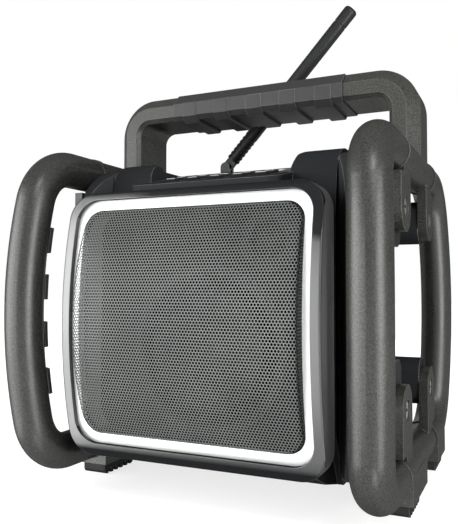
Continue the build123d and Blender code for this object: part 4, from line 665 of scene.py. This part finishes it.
# the bar lies near each key's front edge, so far in from the key's box and down from its top
panel_rise = 0.235
panel_slope = atan(panel_rise)
along = Vector((0, cos(panel_slope), sin(panel_slope)))
raised = Vector((0, -sin(panel_slope), cos(panel_slope)))
bar_in = 0.0025
bar_down = 0.0011
bar_half_width = 0.0042
bar_half_depth = 0.0006
bar_high = 0.0005
bar_sunk = 0.0001
corners = ((-1, -1), (1, -1), (1, 1), (-1, 1))
for name in key_names:
    low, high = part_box(name)
    foot = Vector(((low.x + high.x) / 2, low.y + bar_in, high.z - bar_down))
    points = [foot + Vector((x * bar_half_width, 0, 0)) + along * (y * bar_half_depth) + raised * level
              for level in (-bar_sunk, bar_high) for x, y in corners]
    faces = [(3, 2, 1, 0), (4, 5, 6, 7), (0, 1, 5, 4), (1, 2, 6, 5), (2, 3, 7, 6), (3, 0, 4, 7)]
    bar = new_piece(name.replace("key", "key_bar"), points, faces, mark_ink)
    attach(bar, name)

# the window's moulded acrylic is smoked and wiped, so the display glows dimly through it
smear_mm = 8.33
window_acrylic, tree = new_tree("smoked acrylic window")
place = put(tree, "ShaderNodeTexCoord").outputs["Object"]
haze = put(tree, "ShaderNodeTexNoise", {"Vector": place, "Scale": 1000 / smear_mm, "Detail": 4.0})
smear = put(tree, "ShaderNodeMapRange", {"Value": haze.outputs["Fac"], "From Min": 0.3,
                                         "From Max": 0.8, "To Min": 0.2, "To Max": 0.34})
skin = put(tree, "ShaderNodeBsdfPrincipled", {"Base Color": linear("#4a4e50"), "Roughness": smear,
                                              "IOR": 1.49, "Specular IOR Level": 0.1,
                                              "Transmission Weight": 0.85})
put(tree, "ShaderNodeOutputMaterial", {"Surface": skin})
dress(window_acrylic, "display_window")

cloud_mm = 2.5
display_glass, tree = new_tree("liquid-crystal display")
place = put(tree, "ShaderNodeTexCoord").outputs["Object"]
cloud = put(tree, "ShaderNodeTexNoise", {"Vector": place, "Scale": 1000 / cloud_mm, "Detail": 2.0})
tone = put(tree, "ShaderNodeMapRange", {"Value": cloud.outputs["Fac"], "From Min": 0.3,
                                        "From Max": 0.7, "To Min": 0.0, "To Max": 1.0})
colour = put(tree, "ShaderNodeMix", {0: tone, 6: linear("#6d7568"), 7: linear("#7a8274")},
             data_type="RGBA")
skin = put(tree, "ShaderNodeBsdfPrincipled", {"Base Color": colour.outputs[2], "Roughness": 0.22})
put(tree, "ShaderNodeOutputMaterial", {"Surface": skin})
dress(display_glass, "display_module")


# ---- Circuit boards and power supply --------------------------------------------------------
# Glass-epoxy boards under green resist, and a folded steel supply box, fixed inside the case. The
# resist is satin, and the glass weave shows through it as faint stripes.

# a wave node draws one stripe to each 2 pi / 20 of its own units
stripe_mm = 0.628
stripe_units = 2 * pi / 20
board_epoxy, tree = new_tree("green resist on glass epoxy")
place = put(tree, "ShaderNodeTexCoord").outputs["Object"]
weave = put(tree, "ShaderNodeTexWave", {"Vector": place, "Scale": 1000 * stripe_units / stripe_mm,
                                        "Distortion": 1.0})
colour = put(tree, "ShaderNodeMix", {0: weave.outputs["Fac"], 6: linear("#1f4a33"),
                                     7: linear("#28583d")}, data_type="RGBA")
skin = put(tree, "ShaderNodeBsdfPrincipled", {"Base Color": colour.outputs[2], "Roughness": 0.35})
put(tree, "ShaderNodeOutputMaterial", {"Surface": skin})
dress(board_epoxy, "control_board", "main_board")
supply_steel = metal("zinc-plated sheet steel", "#8f9294", "#a5a8a9", rough=0.4, mark_mm=6.0,
                     depth_mm=0.02)
dress(supply_steel, "power_supply")


# ---- Screws ---------------------------------------------------------------------------------
# Cross-recessed machine screws of cold-headed steel: blackened and dull on the lugs, as dark as the
# basket at the drivers, and bright zinc at the back, where the battery door's pins match them.

screw_black = metal("blackened screw steel", "#4a4b4b", "#5e5f5f", rough=0.38, mark_mm=1.5,
                    depth_mm=0.02)
screw_zinc = metal("zinc-plated screw steel", "#8d9091", "#a9acad", rough=0.34, mark_mm=1.5,
                   depth_mm=0.02)
dress(screw_black, "lug_screws")
dress(pressed_steel, "driver_screws")
dress(screw_zinc, "case_screws", "door_pins")


# ---- Antenna --------------------------------------------------------------------------------
# A thick flexible whip in black rubber with a ringed sleeve, pinned in a black-nickelled steel fork
# that turns on a moulded base. The rubber is matt, and the fork keeps a dark metal shine.

antenna_rubber = moulded("flexible antenna rubber", "#101111", "#1c1d1d", rough=0.4, grain_mm=0.6,
                         depth_mm=0.04, edge_mm=0.5, edge_wear_and_highlight=0.25, sheen=0.0, film=0.016)
fork_steel = metal("black-nickelled steel", "#1c1d1d", "#2c2d2d", rough=0.3, mark_mm=0.8,
                   depth_mm=0.02)
dress(antenna_rubber, "antenna_whip", "antenna_base")
dress(fork_steel, "antenna_fork")


# ---- Battery compartment and sockets --------------------------------------------------------
# A hinged door over a tray of eight cells with sprung steel contacts, and a socket panel with a
# rubber flap over its jacks. Door, tray and panel are moulded in the case's plastic.

dress(case_abs, "battery_door", "battery_tray", "socket_panel")
dress(grip_rubber, "socket_cover")
contact_steel = metal("nickel-plated spring steel", "#b5b6b2", "#cbccc8", rough=0.24, mark_mm=2.0,
                      depth_mm=0.01)
dress(contact_steel, "battery_contacts")
cell_wrap = moulded("shrink-wrapped cell jacket", "#5b6f7c", "#6a7f8c", rough=0.3, grain_mm=4.0,
                    depth_mm=0.01, edge_mm=0.3, edge_wear_and_highlight=0.1)
dress(cell_wrap, "battery_cells")
